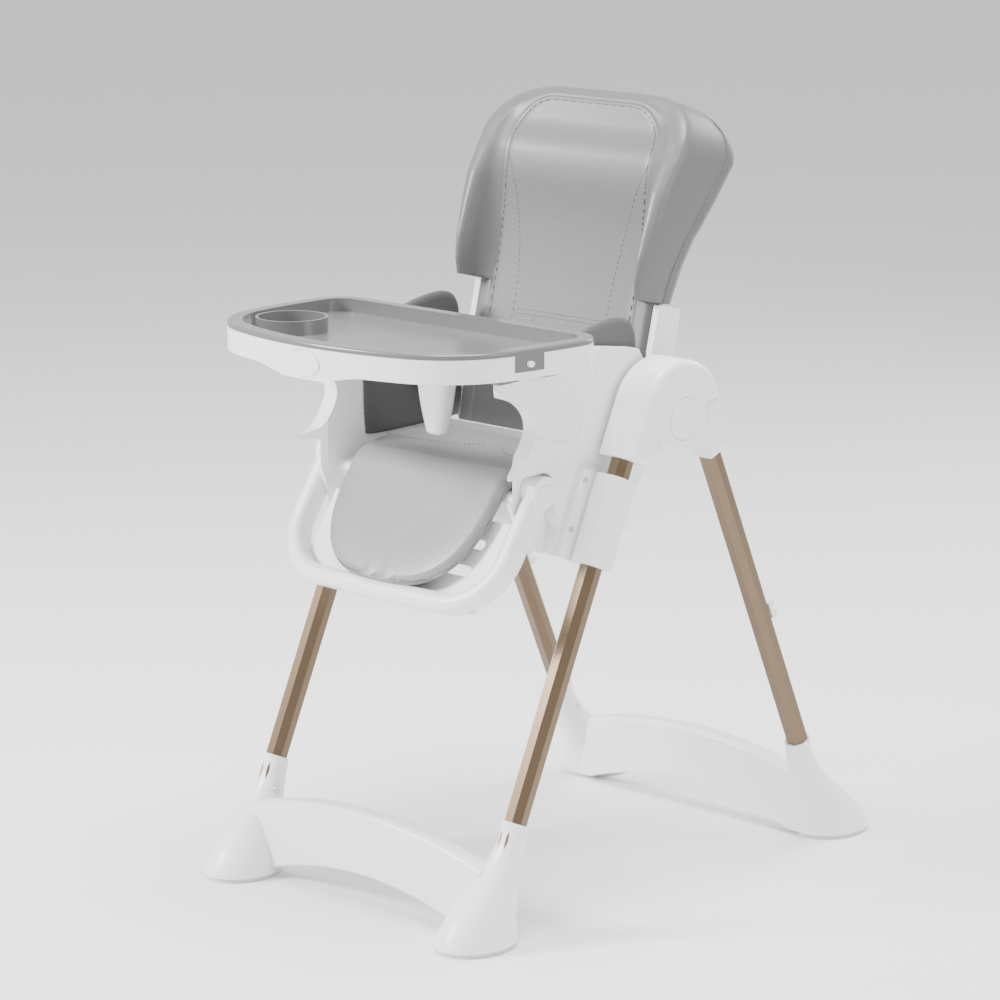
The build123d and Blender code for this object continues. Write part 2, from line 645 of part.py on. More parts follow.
back_side = back_outline(0)
back_hollow = back_outline(BACK_WALL)
back_centre = back_plane(0)
back_front = Plane(origin=BACK_HINGE, x_dir=(1, 0, 0), z_dir=back_centre.x_dir)
with BuildPart() as back_shell:
    with BuildSketch(back_centre):
        add(back_side)
    extrude(amount=BACK_HALF, both=True)
    fillet(back_shell.edges().filter_by(lambda e: e.length > 2 * BACK_HALF - 1).group_by(Axis.Z)[-1], 3)
    with BuildSketch(back_centre):
        add(back_hollow)
        with Locations((0, 78)):
            Rectangle(100, 160, mode=Mode.SUBTRACT)
    extrude(amount=BACK_HALF - BACK_WALL, both=True, mode=Mode.SUBTRACT)
    with BuildSketch(back_plane(RAIL_OUT)):
        with BuildLine():
            Polyline((-10, 24), (-13, WING_LOW - 2), (30, WING_LOW - 2), (34, 20), close=True)
        make_face()
        Circle(HINGE_EAR_R - 1)
        with BuildLine():
            Polyline((-14, 0), (-10, 26), (34, 26), (14, -2), close=True)
        make_face()
    extrude(amount=RAIL_OUT - RAIL_IN)
    with BuildSketch(back_plane(RAIL_IN + 1)):
        with Locations((9, 92)):
            Rectangle(10, 140)
    extrude(amount=RAIL_IN + 1 - BACK_HALF + 6)
    mirror(about=Plane.YZ)
    with BuildSketch(back_front):
        with Locations((0, BACK_TOP - 3 * SHOULDER_R)):
            Rectangle(2 * BACK_HALF + 80, 6 * SHOULDER_R + 4)
        with Locations((0, BACK_TOP - 250)):
            RectangleRounded(2 * BACK_HALF, 500, SHOULDER_R, mode=Mode.SUBTRACT)
        with Locations((0, BACK_TOP - 6 * SHOULDER_R)):
            Rectangle(2 * BACK_HALF + 82, 7 * SHOULDER_R, mode=Mode.SUBTRACT)
    extrude(amount=100, both=True, mode=Mode.SUBTRACT)
    with BuildSketch(Plane.YZ.offset(-200)):
        with Locations(BACK_HINGE[1:]):
            Circle(HINGE_PIN_R + PIN_PLAY)
    extrude(amount=400, mode=Mode.SUBTRACT)
    with BuildSketch(back_centre):
        with Locations((HANDLE_DEPTH - 12, HANDLE_LOW + 24)):
            Rectangle(40, 48 + 2 * HANDLE_TRAVEL)
    extrude(amount=62, both=True, mode=Mode.SUBTRACT)
keep(back_shell.part, "back_shell")

with BuildPart() as recline_handle:
    with BuildSketch(back_centre):
        with Locations((HANDLE_DEPTH, HANDLE_LOW + 24)):
            Rectangle(8, 44)
        with Locations((HANDLE_DEPTH - 8, HANDLE_LOW + 10)):
            Rectangle(16, 8)
    extrude(amount=58, both=True)
    fillet(recline_handle.edges().filter_by(Axis.X), 1.5)
keep(recline_handle.part, "recline_handle")

with BuildPart() as back_pad:
    with BuildSketch(back_centre):
        with BuildLine():
            face = Polyline((BACK_FRONT, -8), (BACK_FRONT, 400))
            curl = ThreePointArc(face @ 1, (BACK_FRONT - 4, 425), (BACK_FRONT - 16, 442))
            Polyline(curl @ 1, (BACK_SHEET + 0.6, 442), (BACK_SHEET + 0.6, -8), face @ 0)
        make_face()
    extrude(amount=144, both=True)
    fillet(back_pad.edges().filter_by(Axis.X).sort_by(Axis.Z)[:1], 6)
keep(back_pad.part, "back_pad")

with BuildPart() as back_wing:
    with BuildSketch(back_plane(190)) as wing_face:
        with BuildLine():
            Polyline(
                (BACK_SHEET + 9, WING_LOW), (WING_CREST - 10, WING_LOW), (WING_CREST, 205), (WING_CREST - 3, 240),
                (73, 310), (58, 352), (30, 412), (10, 430), (-36, 413), (-65, 386), (-62, 364), (-42, 316),
                (-12, 255), (-2, 218), (2, WING_LOW), close=True,
            )
        make_face()
        fillet(wing_face.vertices().filter_by(lambda v: v.Z > 860), 6)
    extrude(amount=190 - BACK_HALF - 0.8)
keep_pair(back_wing.part, "back_wing")

# ---------------------------------------------------------------- swinging footrest
BAR_HALF = 17.0
BAR_WIDE = 25.0
ARM_X = 193.0
CORNER_R = 78.0
LOOP_END = 175.0
PLATE_START = 49.0
PLATE_THICK = 5.0
SLOTS = ((83.5, 272.0, 14.0), (122.0, 262.0, 15.0))  # distance down, length and height of each slot
CAP_R = 10.0
CALF_START = 34.0
CALF_FRONT = 18.0


def footrest_frame(depth):
    """A plane of the hanging footrest: x sideways, y down from the pivot, z forwards by depth."""
    turn_s = sin(radians(FOOTREST_TILT))
    turn_c = cos(radians(FOOTREST_TILT))
    frame = Plane(origin=FOOTREST_PIVOT, x_dir=(-1, 0, 0), z_dir=(0, -turn_c, turn_s))
    return frame.offset(depth)


with BuildPart() as footrest:
    with BuildLine(footrest_frame(0)) as loop_line:
        FilletPolyline(
            (-ARM_X, 0), (-ARM_X, LOOP_END - 5), (0, LOOP_END), (ARM_X, LOOP_END - 5), (ARM_X, 0),
            radius=[CORNER_R, 900, CORNER_R],
        )
    with BuildSketch(Plane(origin=loop_line.line @ 0, z_dir=loop_line.line % 0, x_dir=footrest_frame(0).z_dir)):
        RectangleRounded(2 * BAR_HALF, BAR_WIDE, 11)
    sweep()
    with BuildSketch(Plane.YZ.offset(-205)):
        with Locations(FOOTREST_PIVOT[1:]):
            Circle(KNUCKLE_R)
    extrude(amount=24.8)
    with BuildSketch(Plane.YZ.offset(205)):
        with Locations(FOOTREST_PIVOT[1:]):
            Circle(KNUCKLE_R)
    extrude(amount=-24.8)
    with BuildSketch(footrest_frame(-BAR_HALF + 6)):
        with Locations((0, (PLATE_START + LOOP_END) / 2)):
            Rectangle(2 * ARM_X - 60, LOOP_END - PLATE_START)
        for down, long, high in SLOTS:
            with Locations((0, down)):
                SlotOverall(long, high, mode=Mode.SUBTRACT)
    extrude(amount=PLATE_THICK)
    with BuildSketch(Plane.YZ.offset(-210)):
        with Locations(FOOTREST_PIVOT[1:]):
            Circle(HINGE_PIN_R + PIN_PLAY)
    extrude(amount=420, mode=Mode.SUBTRACT)
    for side in (1, -1):
        with BuildSketch(Plane(origin=(side * (FOOT_PIN_OUT + RUB), 0, 0), x_dir=(0, 1, 0), z_dir=(side, 0, 0))):
            with Locations((FOOTREST_PIVOT[1], side * FOOTREST_PIVOT[2])):
                Circle(CAP_R)
        extrude(amount=20, mode=Mode.SUBTRACT)
keep(footrest.part, "footrest_loop")

with BuildPart() as footrest_cap:
    with BuildSketch(Plane.YZ.offset(FOOT_PIN_OUT + RUB)):
        with Locations(FOOTREST_PIVOT[1:]):
            Circle(CAP_R)
    extrude(amount=3.4)
    fillet(footrest_cap.edges().group_by(Axis.X)[-1], 0.8)
keep_both(footrest_cap.part, "footrest_caps")

with BuildPart() as calf_pad:
    with BuildSketch(footrest_frame(-BAR_HALF + 6 + PLATE_THICK + 0.4)):
        with BuildLine():
            left = Spline((-154, CALF_START), (-149, 75), (-112, 134), (0, 154), tangents=[(0, 1), (1, 0)])
            right = Spline(left @ 1, (112, 134), (149, 75), (154, CALF_START), tangents=[(1, 0), (0, -1)])
            Line(right @ 1, left @ 0)
        make_face()
    extrude(amount=CALF_FRONT + BAR_HALF - 6 - PLATE_THICK - 0.4)
keep(calf_pad.part, "calf_pad")

# ---------------------------------------------------------------- lower tray
RIM_EDGE = 762.0  # where the food tray's rim meets the white side of the lower tray
TRAY_WALL = 3.0
TRAY_FRONT = -434.0
TRAY_REAR = -132.0
TRAY_CORNER = 48.0
LIP_LOW = 721.0  # the side dips to this height at the front, around the button
LIP_HALF = 105.0
DECK_THICK = 4.0
BUTTON_Z = 741.5
TRAY_BUTTON = (31.0, 17.0)  # half width and half height of the oval release button
TAB = (-297.0, -250.0, 741.0)  # front, rear and bottom of the food tray's side clip
POST_Y = -195.0
POST_LOW = 617.0
LUGS = ((-298.0, -274.0), (-216.0, -196.0))


def tray_outline(inset):
    """The tray's outline from above, drawn inset by inset: straight behind, bowed in front."""
    with BuildSketch() as outline:
        with BuildLine():
            front = JernArc((0, TRAY_FRONT), (1, 0), 500, 17.8)
            bend = JernArc(front @ 1, front % 1, 128, 62.2)
            flank = JernArc(bend @ 1, bend % 1, 600, 10)
            side = Line(flank @ 1, ((flank @ 1).X, TRAY_REAR - TRAY_CORNER))
            corner = JernArc(side @ 1, (0, 1), TRAY_CORNER, 90)
            Line(corner @ 1, (0, TRAY_REAR))
            mirror(about=Plane.YZ)
        make_face()
        if inset:
            offset(amount=-inset)
    return outline.sketch


rim_outline = tray_outline(0)
rim_inner = tray_outline(TRAY_WALL)

with BuildPart() as front_lip:
    with BuildSketch(Plane.XZ.offset(480)):
        with BuildLine():
            dip = Spline(
                (-LIP_HALF, TRAY_LOW), (-36, LIP_LOW), (36, LIP_LOW), (LIP_HALF, TRAY_LOW),
                tangents=[(1, 0), (1, 0)],
            )
            Polyline(dip @ 1, (400, TRAY_LOW), (400, 600), (-400, 600), (-400, TRAY_LOW), dip @ 0)
        make_face()
    extrude(amount=-110)

with BuildPart() as tray_base:
    with BuildSketch(Plane.XY.offset(LIP_LOW)):
        add(rim_outline)
        add(rim_inner, mode=Mode.SUBTRACT)
    extrude(amount=RIM_EDGE - LIP_LOW)
    add(front_lip.part, mode=Mode.SUBTRACT)
    with BuildSketch(Plane.XY.offset(LIP_LOW - 10)):
        with Locations((0, -240)):
            Rectangle(700, 270)
    extrude(amount=TRAY_LOW - LIP_LOW + 10, mode=Mode.SUBTRACT)
    with BuildSketch(Plane.XY.offset(LIP_LOW)):
        with Locations((0, TRAY_FRONT + 31.5)):
            Rectangle(2 * TRAY_BUTTON[0] + 18, 3)
    extrude(amount=TRAY_LOW + DECK_THICK - LIP_LOW)
    with BuildSketch(Plane.XZ.offset(-TRAY_FRONT + 20)):
        with Locations((0, BUTTON_Z)):
            Ellipse(TRAY_BUTTON[0] + 0.6, TRAY_BUTTON[1] + 0.6)
    extrude(amount=-34, mode=Mode.SUBTRACT)
    with BuildSketch(Plane.YZ.offset(-300)):
        with Locations(((TAB[0] + TAB[1]) / 2, TAB[2] + 30 - RUB)):
            Rectangle(TAB[1] - TAB[0] + 2 * RUB, 60)
    extrude(amount=600, mode=Mode.SUBTRACT)
    with BuildSketch(Plane.XY.offset(TRAY_LOW)):
        add(rim_inner)
        with Locations((0, TRAY_FRONT)):
            Rectangle(2 * TRAY_BUTTON[0] + 12, 60, mode=Mode.SUBTRACT)
    extrude(amount=DECK_THICK)
    with BuildSketch(Plane.XY.offset(POST_LOW)):
        with Locations((0, POST_Y)):
            RectangleRounded(26, 22, 10)
    with BuildSketch(Plane.XY.offset(POST_LOW + 30)):
        with Locations((0, POST_Y)):
            RectangleRounded(40, 30, 12)
    with BuildSketch(Plane.XY.offset(TRAY_LOW + 1)):
        with Locations((0, POST_Y)):
            RectangleRounded(56, 38, 14)
    loft()
    fillet(tray_base.faces().filter_by(Plane.XY).sort_by(Axis.Z)[0].edges(), 6)
keep(tray_base.part, "tray_base")

with BuildPart() as tray_button:
    with BuildSketch(Plane.XZ.offset(-TRAY_FRONT + 1)):
        with Locations((0, BUTTON_Z)):
            Ellipse(*TRAY_BUTTON)
    extrude(amount=-14)
    fillet(tray_button.edges().group_by(Axis.Y)[0], 1.2)
keep(tray_button.part, "tray_button")

with BuildPart() as tray_lugs:
    for front, rear in LUGS:
        with BuildSketch(Plane.XY.offset(TRAY_LOW)):
            with Locations((216, (front + rear) / 2)):
                Rectangle(22, rear - front)
        extrude(amount=-6)
        with BuildSketch(Plane.XY.offset(TRAY_LOW - 6)):
            with Locations((207, (front + rear) / 2)):
                Rectangle(14, rear - front)
        extrude(amount=-4)
keep_both(tray_lugs.part, "tray_lugs")

# ---------------------------------------------------------------- food tray
RIM_TOP = 769.0
RIM_WIDE = 20.0
FLOOR_Z = 751.0
FLOOR_THICK = 3.0
CUP = (-152.0, -312.0)
CUP_R = 48.0
CUP_WALL = 3.5
CUP_FLOOR = 744.0

rim_hollow = tray_outline(RIM_WIDE)
rim_under = tray_outline(RIM_WIDE - FLOOR_THICK)

with BuildPart() as tray_top:
    with BuildSketch(Plane.XY.offset(RIM_EDGE + RUB)):
        add(rim_outline)
    extrude(amount=RIM_TOP - RIM_EDGE - RUB)
    fillet(tray_top.faces().sort_by(Axis.Z)[-1].edges(), 3.5)
    with BuildSketch(Plane.XY.offset(FLOOR_Z - FLOOR_THICK)):
        add(rim_under)
    extrude(amount=RIM_EDGE + 2 - FLOOR_Z + FLOOR_THICK)
    with BuildSketch(Plane.XY.offset(FLOOR_Z)):
        add(rim_hollow)
    extrude(amount=40, mode=Mode.SUBTRACT)
    with BuildSketch(Plane.XY.offset(CUP_FLOOR - FLOOR_THICK)):
        with Locations(CUP):
            Circle(CUP_R)
    extrude(amount=RIM_TOP + 1 - CUP_FLOOR + FLOOR_THICK)
    with BuildSketch(Plane.XY.offset(CUP_FLOOR)):
        with Locations(CUP):
            Circle(CUP_R - CUP_WALL)
    extrude(amount=60, mode=Mode.SUBTRACT)
    with BuildSketch(Plane.XY.offset(TAB[2])):
        add(rim_outline)
        add(rim_inner, mode=Mode.SUBTRACT)
        with Locations((0, (TAB[0] + TAB[1]) / 2)):
            Rectangle(700, TAB[1] - TAB[0], mode=Mode.INTERSECT)
    extrude(amount=RIM_EDGE + 1 - TAB[2])
keep(tray_top.part, "tray_top")

with BuildPart() as tray_stud:
    with BuildSketch(Plane.YZ.offset(245.0)):
        with Locations(((TAB[0] + TAB[1]) / 2, 750)):
            Ellipse(5.4, 4)
    extrude(amount=3.6)
stud = tray_stud.part - tray_top.part
keep_both(stud, "tray_top_studs")
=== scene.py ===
"""Looks of a folding baby high chair: padded covers, seams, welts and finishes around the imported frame.

Everything is in metres, in the frame's own axes: +Z up, the child faces -Y and +X is the child's left.
"""
import json
import logging
from collections.abc import Callable
from dataclasses import dataclass, field
from enum import Enum
from math import cos, pi, radians, sin, tan

import bpy
import numpy as np
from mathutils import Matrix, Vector

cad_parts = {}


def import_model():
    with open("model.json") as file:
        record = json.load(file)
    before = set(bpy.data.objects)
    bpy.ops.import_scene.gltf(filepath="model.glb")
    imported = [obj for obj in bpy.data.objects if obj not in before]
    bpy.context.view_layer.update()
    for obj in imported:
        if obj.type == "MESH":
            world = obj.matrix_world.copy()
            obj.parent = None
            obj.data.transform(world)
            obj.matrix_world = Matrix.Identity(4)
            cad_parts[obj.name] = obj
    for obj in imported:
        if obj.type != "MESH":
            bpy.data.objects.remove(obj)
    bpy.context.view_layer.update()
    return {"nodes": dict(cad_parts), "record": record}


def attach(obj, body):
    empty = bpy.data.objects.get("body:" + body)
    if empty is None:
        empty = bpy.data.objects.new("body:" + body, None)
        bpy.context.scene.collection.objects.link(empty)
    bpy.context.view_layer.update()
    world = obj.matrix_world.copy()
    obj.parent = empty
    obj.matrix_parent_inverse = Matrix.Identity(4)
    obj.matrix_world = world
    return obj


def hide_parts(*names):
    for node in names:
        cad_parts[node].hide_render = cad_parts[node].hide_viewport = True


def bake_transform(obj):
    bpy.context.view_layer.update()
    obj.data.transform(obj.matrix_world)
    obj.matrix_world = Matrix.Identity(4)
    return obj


log = logging.getLogger("high_chair")

Point = tuple[float, float, float]

LINE_STEPS = 24  # points that a smooth line gets between two given ones
CHUNK = 60  # points of a line that are measured against at a time
RIM_STOPS = 160  # points on each side of a pad's edge
MERGE_GAP = 0.00005
SMOOTH_ANGLE = 40.0  # degrees
WELT_SIDES = 3  # bevel resolution of a piping

STITCH_PITCH = 0.0062
STITCH_SHARE = 0.66  # half a bead's length, as a share of the gap between its ends
STITCH_HALF_WIDTH = 0.00052
STITCH_HALF_HEIGHT = 0.00042
STITCH_LIFT = 0.0001


class Slot(Enum):
    """The record's material slots."""

    WHITE = "white_plastic"
    PAINT = "leg_paint"
    RUBBER = "foot_rubber"
    STEEL = "steel"
    SEAT = "seat_leather"
    BACK = "back_leather"
    TRAY = "tray_grey"


class Side(Enum):
    """The child's left and right side, with the sign of X on it."""

    LEFT = 1
    RIGHT = -1

    @property
    def word(self) -> str:
        """The side's name in lower case."""
        return self.name.lower()


# ------------------------------------------------------------------ materials
class Desk:
    """Places and joins the nodes of one node tree."""

    def __init__(self, tree: bpy.types.NodeTree) -> None:
        """Keeps the tree to work on.

        Args:
            tree: The material's or group's node tree.
        """
        self.tree = tree

    def put(self, kind: str, values: dict | None = None, **settings: object) -> bpy.types.Node:
        """Adds a node.

        Args:
            kind: The node's type name.
            values: Input values by socket name or number.
            **settings: The node's own properties.

        Returns:
            The new node.
        """
        node = self.tree.nodes.new(kind)
        for key, value in settings.items():
            setattr(node, key, value)
        for socket, value in (values or {}).items():
            node.inputs[socket].default_value = value
        return node

    def join(self, source: bpy.types.NodeSocket, target: bpy.types.NodeSocket) -> None:
        """Links an output socket to an input socket."""
        self.tree.links.new(source, target)


def new_group(name: str, inputs: dict[str, str], outputs: dict[str, str]) -> tuple[Desk, object, object]:
    """Starts a shader node group with its sockets.

    Args:
        name: The group's name.
        inputs: Socket types by input name.
        outputs: Socket types by output name.

    Returns:
        The desk of the group's tree, its input node and its output node.
    """
    tree = bpy.data.node_groups.new(name, "ShaderNodeTree")
    for socket, kind in inputs.items():
        tree.interface.new_socket(name=socket, in_out="INPUT", socket_type=kind)
    for socket, kind in outputs.items():
        tree.interface.new_socket(name=socket, in_out="OUTPUT", socket_type=kind)
    desk = Desk(tree)
    return desk, desk.put("NodeGroupInput"), desk.put("NodeGroupOutput")


FLOAT = "NodeSocketFloat"
VECTOR = "NodeSocketVector"
COLOUR = "NodeSocketColor"


def patches_group() -> bpy.types.NodeTree:
    """Slow changes of tone and shine, as handling and moulding leave them.

    Returns:
        The group, with inputs Place, Colour, Amount, Size, Shine, and outputs Colour and Roughness.
    """
    inputs = {"Place": VECTOR, "Colour": COLOUR, "Amount": FLOAT, "Size": FLOAT, "Shine": FLOAT}
    desk, start, end = new_group("tone_patches", inputs, {"Colour": COLOUR, "Roughness": FLOAT})
    cloud = desk.put("ShaderNodeTexNoise", {"Detail": 3.0, "Roughness": 0.55})
    desk.join(start.outputs["Place"], cloud.inputs["Vector"])
    desk.join(start.outputs["Size"], cloud.inputs["Scale"])
    centred = desk.put("ShaderNodeMath", {1: 0.5}, operation="SUBTRACT")
    desk.join(cloud.outputs["Fac"], centred.inputs[0])
    scaled = desk.put("ShaderNodeMath", operation="MULTIPLY")
    desk.join(centred.outputs[0], scaled.inputs[0])
    desk.join(start.outputs["Amount"], scaled.inputs[1])
    gain = desk.put("ShaderNodeMath", {1: 1.0}, operation="ADD")
    desk.join(scaled.outputs[0], gain.inputs[0])
    tone = desk.put("ShaderNodeVectorMath", operation="SCALE")
    desk.join(start.outputs["Colour"], tone.inputs[0])
    desk.join(gain.outputs[0], tone.inputs["Scale"])
    desk.join(tone.outputs[0], end.inputs["Colour"])
    shine = desk.put("ShaderNodeMath", operation="MULTIPLY")
    desk.join(start.outputs["Shine"], shine.inputs[0])
    desk.join(gain.outputs[0], shine.inputs[1])
    desk.join(shine.outputs[0], end.inputs["Roughness"])
    return desk.tree


def grain_group() -> bpy.types.NodeTree:
    """Pebbled leather grain with finer creases.

    Returns:
        The group, with inputs Place and Size, and output Height.
    """
    desk, start, end = new_group("leather_grain", {"Place": VECTOR, "Size": FLOAT}, {"Height": FLOAT})
    pebbles = desk.put("ShaderNodeTexVoronoi", feature="SMOOTH_F1")
    pebbles.inputs["Smoothness"].default_value = 0.4
    desk.join(start.outputs["Place"], pebbles.inputs["Vector"])
    desk.join(start.outputs["Size"], pebbles.inputs["Scale"])
    finer = desk.put("ShaderNodeMath", {1: 0.45}, operation="MULTIPLY")
    desk.join(start.outputs["Size"], finer.inputs[0])
    creases = desk.put("ShaderNodeTexNoise", {"Detail": 4.0, "Roughness": 0.6})
    desk.join(start.outputs["Place"], creases.inputs["Vector"])
    desk.join(finer.outputs[0], creases.inputs["Scale"])
    total = desk.put("ShaderNodeMath", operation="SUBTRACT")
    desk.join(creases.outputs["Fac"], total.inputs[0])
    desk.join(pebbles.outputs["Distance"], total.inputs[1])
    desk.join(total.outputs[0], end.inputs["Height"])
    return desk.tree


def skin_group() -> bpy.types.NodeTree:
    """The fine spark-eroded skin of moulded plastic and the orange peel of paint.

    Returns:
        The group, with inputs Place and Size, and output Height.
    """
    desk, start, end = new_group("moulded_skin", {"Place": VECTOR, "Size": FLOAT}, {"Height": FLOAT})
    speckle = desk.put("ShaderNodeTexNoise", {"Detail": 2.0, "Roughness": 0.7})
    desk.join(start.outputs["Place"], speckle.inputs["Vector"])
    desk.join(start.outputs["Size"], speckle.inputs["Scale"])
    desk.join(speckle.outputs["Fac"], end.inputs["Height"])
    return desk.tree


@dataclass(frozen=True)
class Finish:
    """A finish made of one shader, slow tone patches and one fine relief."""

    name: str
    colour: Point
    roughness: float
    relief: str = "moulded_skin"
    relief_size: float = 1400.0
    relief_depth: float = 0.00004
    relief_strength: float = 0.25
    patch_amount: float = 0.05
    patch_size: float = 7.0
    metallic: float = 0.0
    coat: float = 0.0
    coat_roughness: float = 0.2
    specular: float = 0.5
    sheen: float = 0.0
    sheen_roughness: float = 0.4

    def material(self) -> bpy.types.Material:
        """Builds the node material, once.

        Returns:
            The material of this finish.
        """
        made = bpy.data.materials.get(self.name)
        if made:
            return made
        made = bpy.data.materials.new(self.name)
        made.use_nodes = True
        made.node_tree.nodes.clear()
        desk = Desk(made.node_tree)
        shader = desk.put("ShaderNodeBsdfPrincipled", {
            "Metallic": self.metallic, "Coat Weight": self.coat, "Coat Roughness": self.coat_roughness,
            "Specular IOR Level": self.specular, "Sheen Weight": self.sheen,
            "Sheen Roughness": self.sheen_roughness,
        })
        out = desk.put("ShaderNodeOutputMaterial")
        desk.join(shader.outputs[0], out.inputs["Surface"])
        place = desk.put("ShaderNodeTexCoord").outputs["Object"]
        tone = desk.put("ShaderNodeGroup", node_tree=bpy.data.node_groups["tone_patches"])
        tone.inputs["Colour"].default_value = (*self.colour, 1.0)
        tone.inputs["Amount"].default_value = self.patch_amount
        tone.inputs["Size"].default_value = self.patch_size
        tone.inputs["Shine"].default_value = self.roughness
        desk.join(place, tone.inputs["Place"])
        desk.join(tone.outputs["Colour"], shader.inputs["Base Color"])
        desk.join(tone.outputs["Roughness"], shader.inputs["Roughness"])
        relief = desk.put("ShaderNodeGroup", node_tree=bpy.data.node_groups[self.relief])
        relief.inputs["Size"].default_value = self.relief_size
        desk.join(place, relief.inputs["Place"])
        bump = desk.put("ShaderNodeBump", {"Strength": self.relief_strength, "Distance": self.relief_depth})
        desk.join(relief.outputs["Height"], bump.inputs["Height"])
        desk.join(bump.outputs["Normal"], shader.inputs["Normal"])
        return made


WHITE = Finish("satin_white_plastic", (0.86, 0.86, 0.865), 0.34, coat=0.15)
PAINT = Finish("champagne_paint", (0.155, 0.105, 0.062), 0.30, relief_size=600.0, metallic=0.75, coat=0.3)
RUBBER = Finish("pale_rubber", (0.60, 0.60, 0.61), 0.62, relief_depth=0.0001, patch_amount=0.1)
STEEL = Finish("plated_steel", (0.62, 0.62, 0.64), 0.28, metallic=1.0, patch_amount=0.1, patch_size=60.0)
TRAY = Finish("grey_tray_plastic", (0.135, 0.135, 0.137), 0.22, coat=0.35, relief_depth=0.00003)
SEAT = Finish("light_grey_leather", (0.245, 0.245, 0.248), 0.40, "leather_grain", 620.0, 0.00030, 0.55,
              patch_amount=0.07, coat=0.12, sheen=0.05)
BACK = Finish("mid_grey_leather", (0.118, 0.118, 0.120), 0.42, "leather_grain", 620.0, 0.00026, 0.5,
              patch_amount=0.07, coat=0.12, sheen=0.05)
EAR = Finish("side_grey_leather", (0.085, 0.085, 0.087), 0.50, "leather_grain", 620.0, 0.00026, 0.5,
             patch_amount=0.08)
THREAD = Finish("grey_thread", (0.055, 0.055, 0.058), 0.7, relief_size=3000.0, patch_amount=0.25,
                patch_size=200.0)
WELT = Finish("grey_welt", (0.20, 0.20, 0.202), 0.38, "leather_grain", 900.0, 0.0002, 0.4, coat=0.1)
FLOOR = Finish("studio_floor", (0.90, 0.90, 0.90), 0.6, relief_size=40.0, relief_depth=0.0002,
               patch_amount=0.01)

FINISH_OF_SLOT = {
    Slot.WHITE: WHITE, Slot.PAINT: PAINT, Slot.RUBBER: RUBBER, Slot.STEEL: STEEL, Slot.SEAT: SEAT,
    Slot.BACK: BACK, Slot.TRAY: TRAY,
}


# ------------------------------------------------------------------ mesh helpers
def clear_selection() -> None:
    """Deselects every object, since operators act on all that is selected."""
    if bpy.context.object and bpy.context.object.mode != "OBJECT":
        bpy.ops.object.mode_set(mode="OBJECT")
    bpy.ops.object.select_all(action="DESELECT")


def choose(piece: bpy.types.Object) -> None:
    """Makes one object the only selected and active one."""
    clear_selection()
    piece.select_set(True)
    bpy.context.view_layer.objects.active = piece


def coordinates(piece: bpy.types.Object) -> np.ndarray:
    """The vertex positions of a mesh, one row each."""
    found = np.zeros(len(piece.data.vertices) * 3)
    piece.data.vertices.foreach_get("co", found)
    return found.reshape(-1, 3)


def place_vertices(piece: bpy.types.Object, places: np.ndarray) -> None:
    """Moves the vertices of a mesh to new positions, one row each."""
    piece.data.vertices.foreach_set("co", places.astype(float).ravel())
    piece.data.update()


def new_grid(name: str, across: int, along: int) -> bpy.types.Object:
    """Adds a flat grid from -1 to 1 both ways.

    Args:
        name: The object's name.
        across: Faces along X.
        along: Faces along Y.

    Returns:
        The grid, selected and active.
    """
    clear_selection()
    bpy.ops.mesh.primitive_grid_add(x_subdivisions=across, y_subdivisions=along, size=2.0)
    piece = bpy.context.object
    piece.name = name
    piece.data.name = name
    return piece


def apply_modifier(piece: bpy.types.Object, kind: str, **settings: object) -> None:
    """Adds a modifier to a mesh and applies it.

    Args:
        piece: The mesh object.
        kind: The modifier's type name.
        **settings: The modifier's properties.
    """
    choose(piece)
    modifier = piece.modifiers.new("step", kind)
    for key, value in settings.items():
        setattr(modifier, key, value)
    bpy.ops.object.modifier_apply(modifier=modifier.name)


def close_shell(piece: bpy.types.Object, gap: float = MERGE_GAP) -> None:
    """Merges doubled vertices and turns all faces outwards.

    Args:
        piece: The mesh object.
        gap: Vertices nearer than this become one.
    """
    choose(piece)
    bpy.ops.object.mode_set(mode="EDIT")
    bpy.ops.mesh.select_all(action="SELECT")
    bpy.ops.mesh.remove_doubles(threshold=gap)
    bpy.ops.mesh.dissolve_degenerate(threshold=gap / 5)
    bpy.ops.mesh.normals_make_consistent(inside=False)
    bpy.ops.object.mode_set(mode="OBJECT")


def dress(piece: bpy.types.Object, finish: Finish) -> None:
    """Shades a finished mesh smoothly and gives it its finish.

    Args:
        piece: The mesh object.
        finish: The finish to wear.
    """
    choose(piece)
    bpy.ops.object.shade_smooth_by_angle(angle=radians(SMOOTH_ANGLE))
    piece.data.materials.clear()
    piece.data.materials.append(finish.material())


def nearest(places: np.ndarray, line: np.ndarray) -> np.ndarray:
    """Distance from each place to the nearest point of a densely sampled line."""
    best = np.full(len(places), np.inf)
    for start in range(0, len(line), CHUNK):
        part = line[start:start + CHUNK]
        gap = np.linalg.norm(places[:, None, :] - part[None, :, :], axis=2).min(axis=1)
        best = np.minimum(best, gap)
    return best


def smooth_line(corners: list[Point], count: int) -> np.ndarray:
    """A smooth line through given points.

    Args:
        corners: The points, in order.
        count: How many points the line gets.

    Returns:
        Evenly spaced points, one row each.
    """
    given = np.array(corners, float)
    ends = np.vstack([2 * given[0] - given[1], given, 2 * given[-1] - given[-2]])
    dense = []
    for i in range(1, len(ends) - 2):
        before, here, there, after = ends[i - 1:i + 3]
        slow = 2 * before - 5 * here + 4 * there - after
        fast = 3 * here - before - 3 * there + after
        for t in np.linspace(0, 1, LINE_STEPS, endpoint=False):
            dense.append(0.5 * (2 * here + (there - before) * t + slow * t**2 + fast * t**3))
    dense.append(ends[-2])
    return even_line(np.array(dense), count)


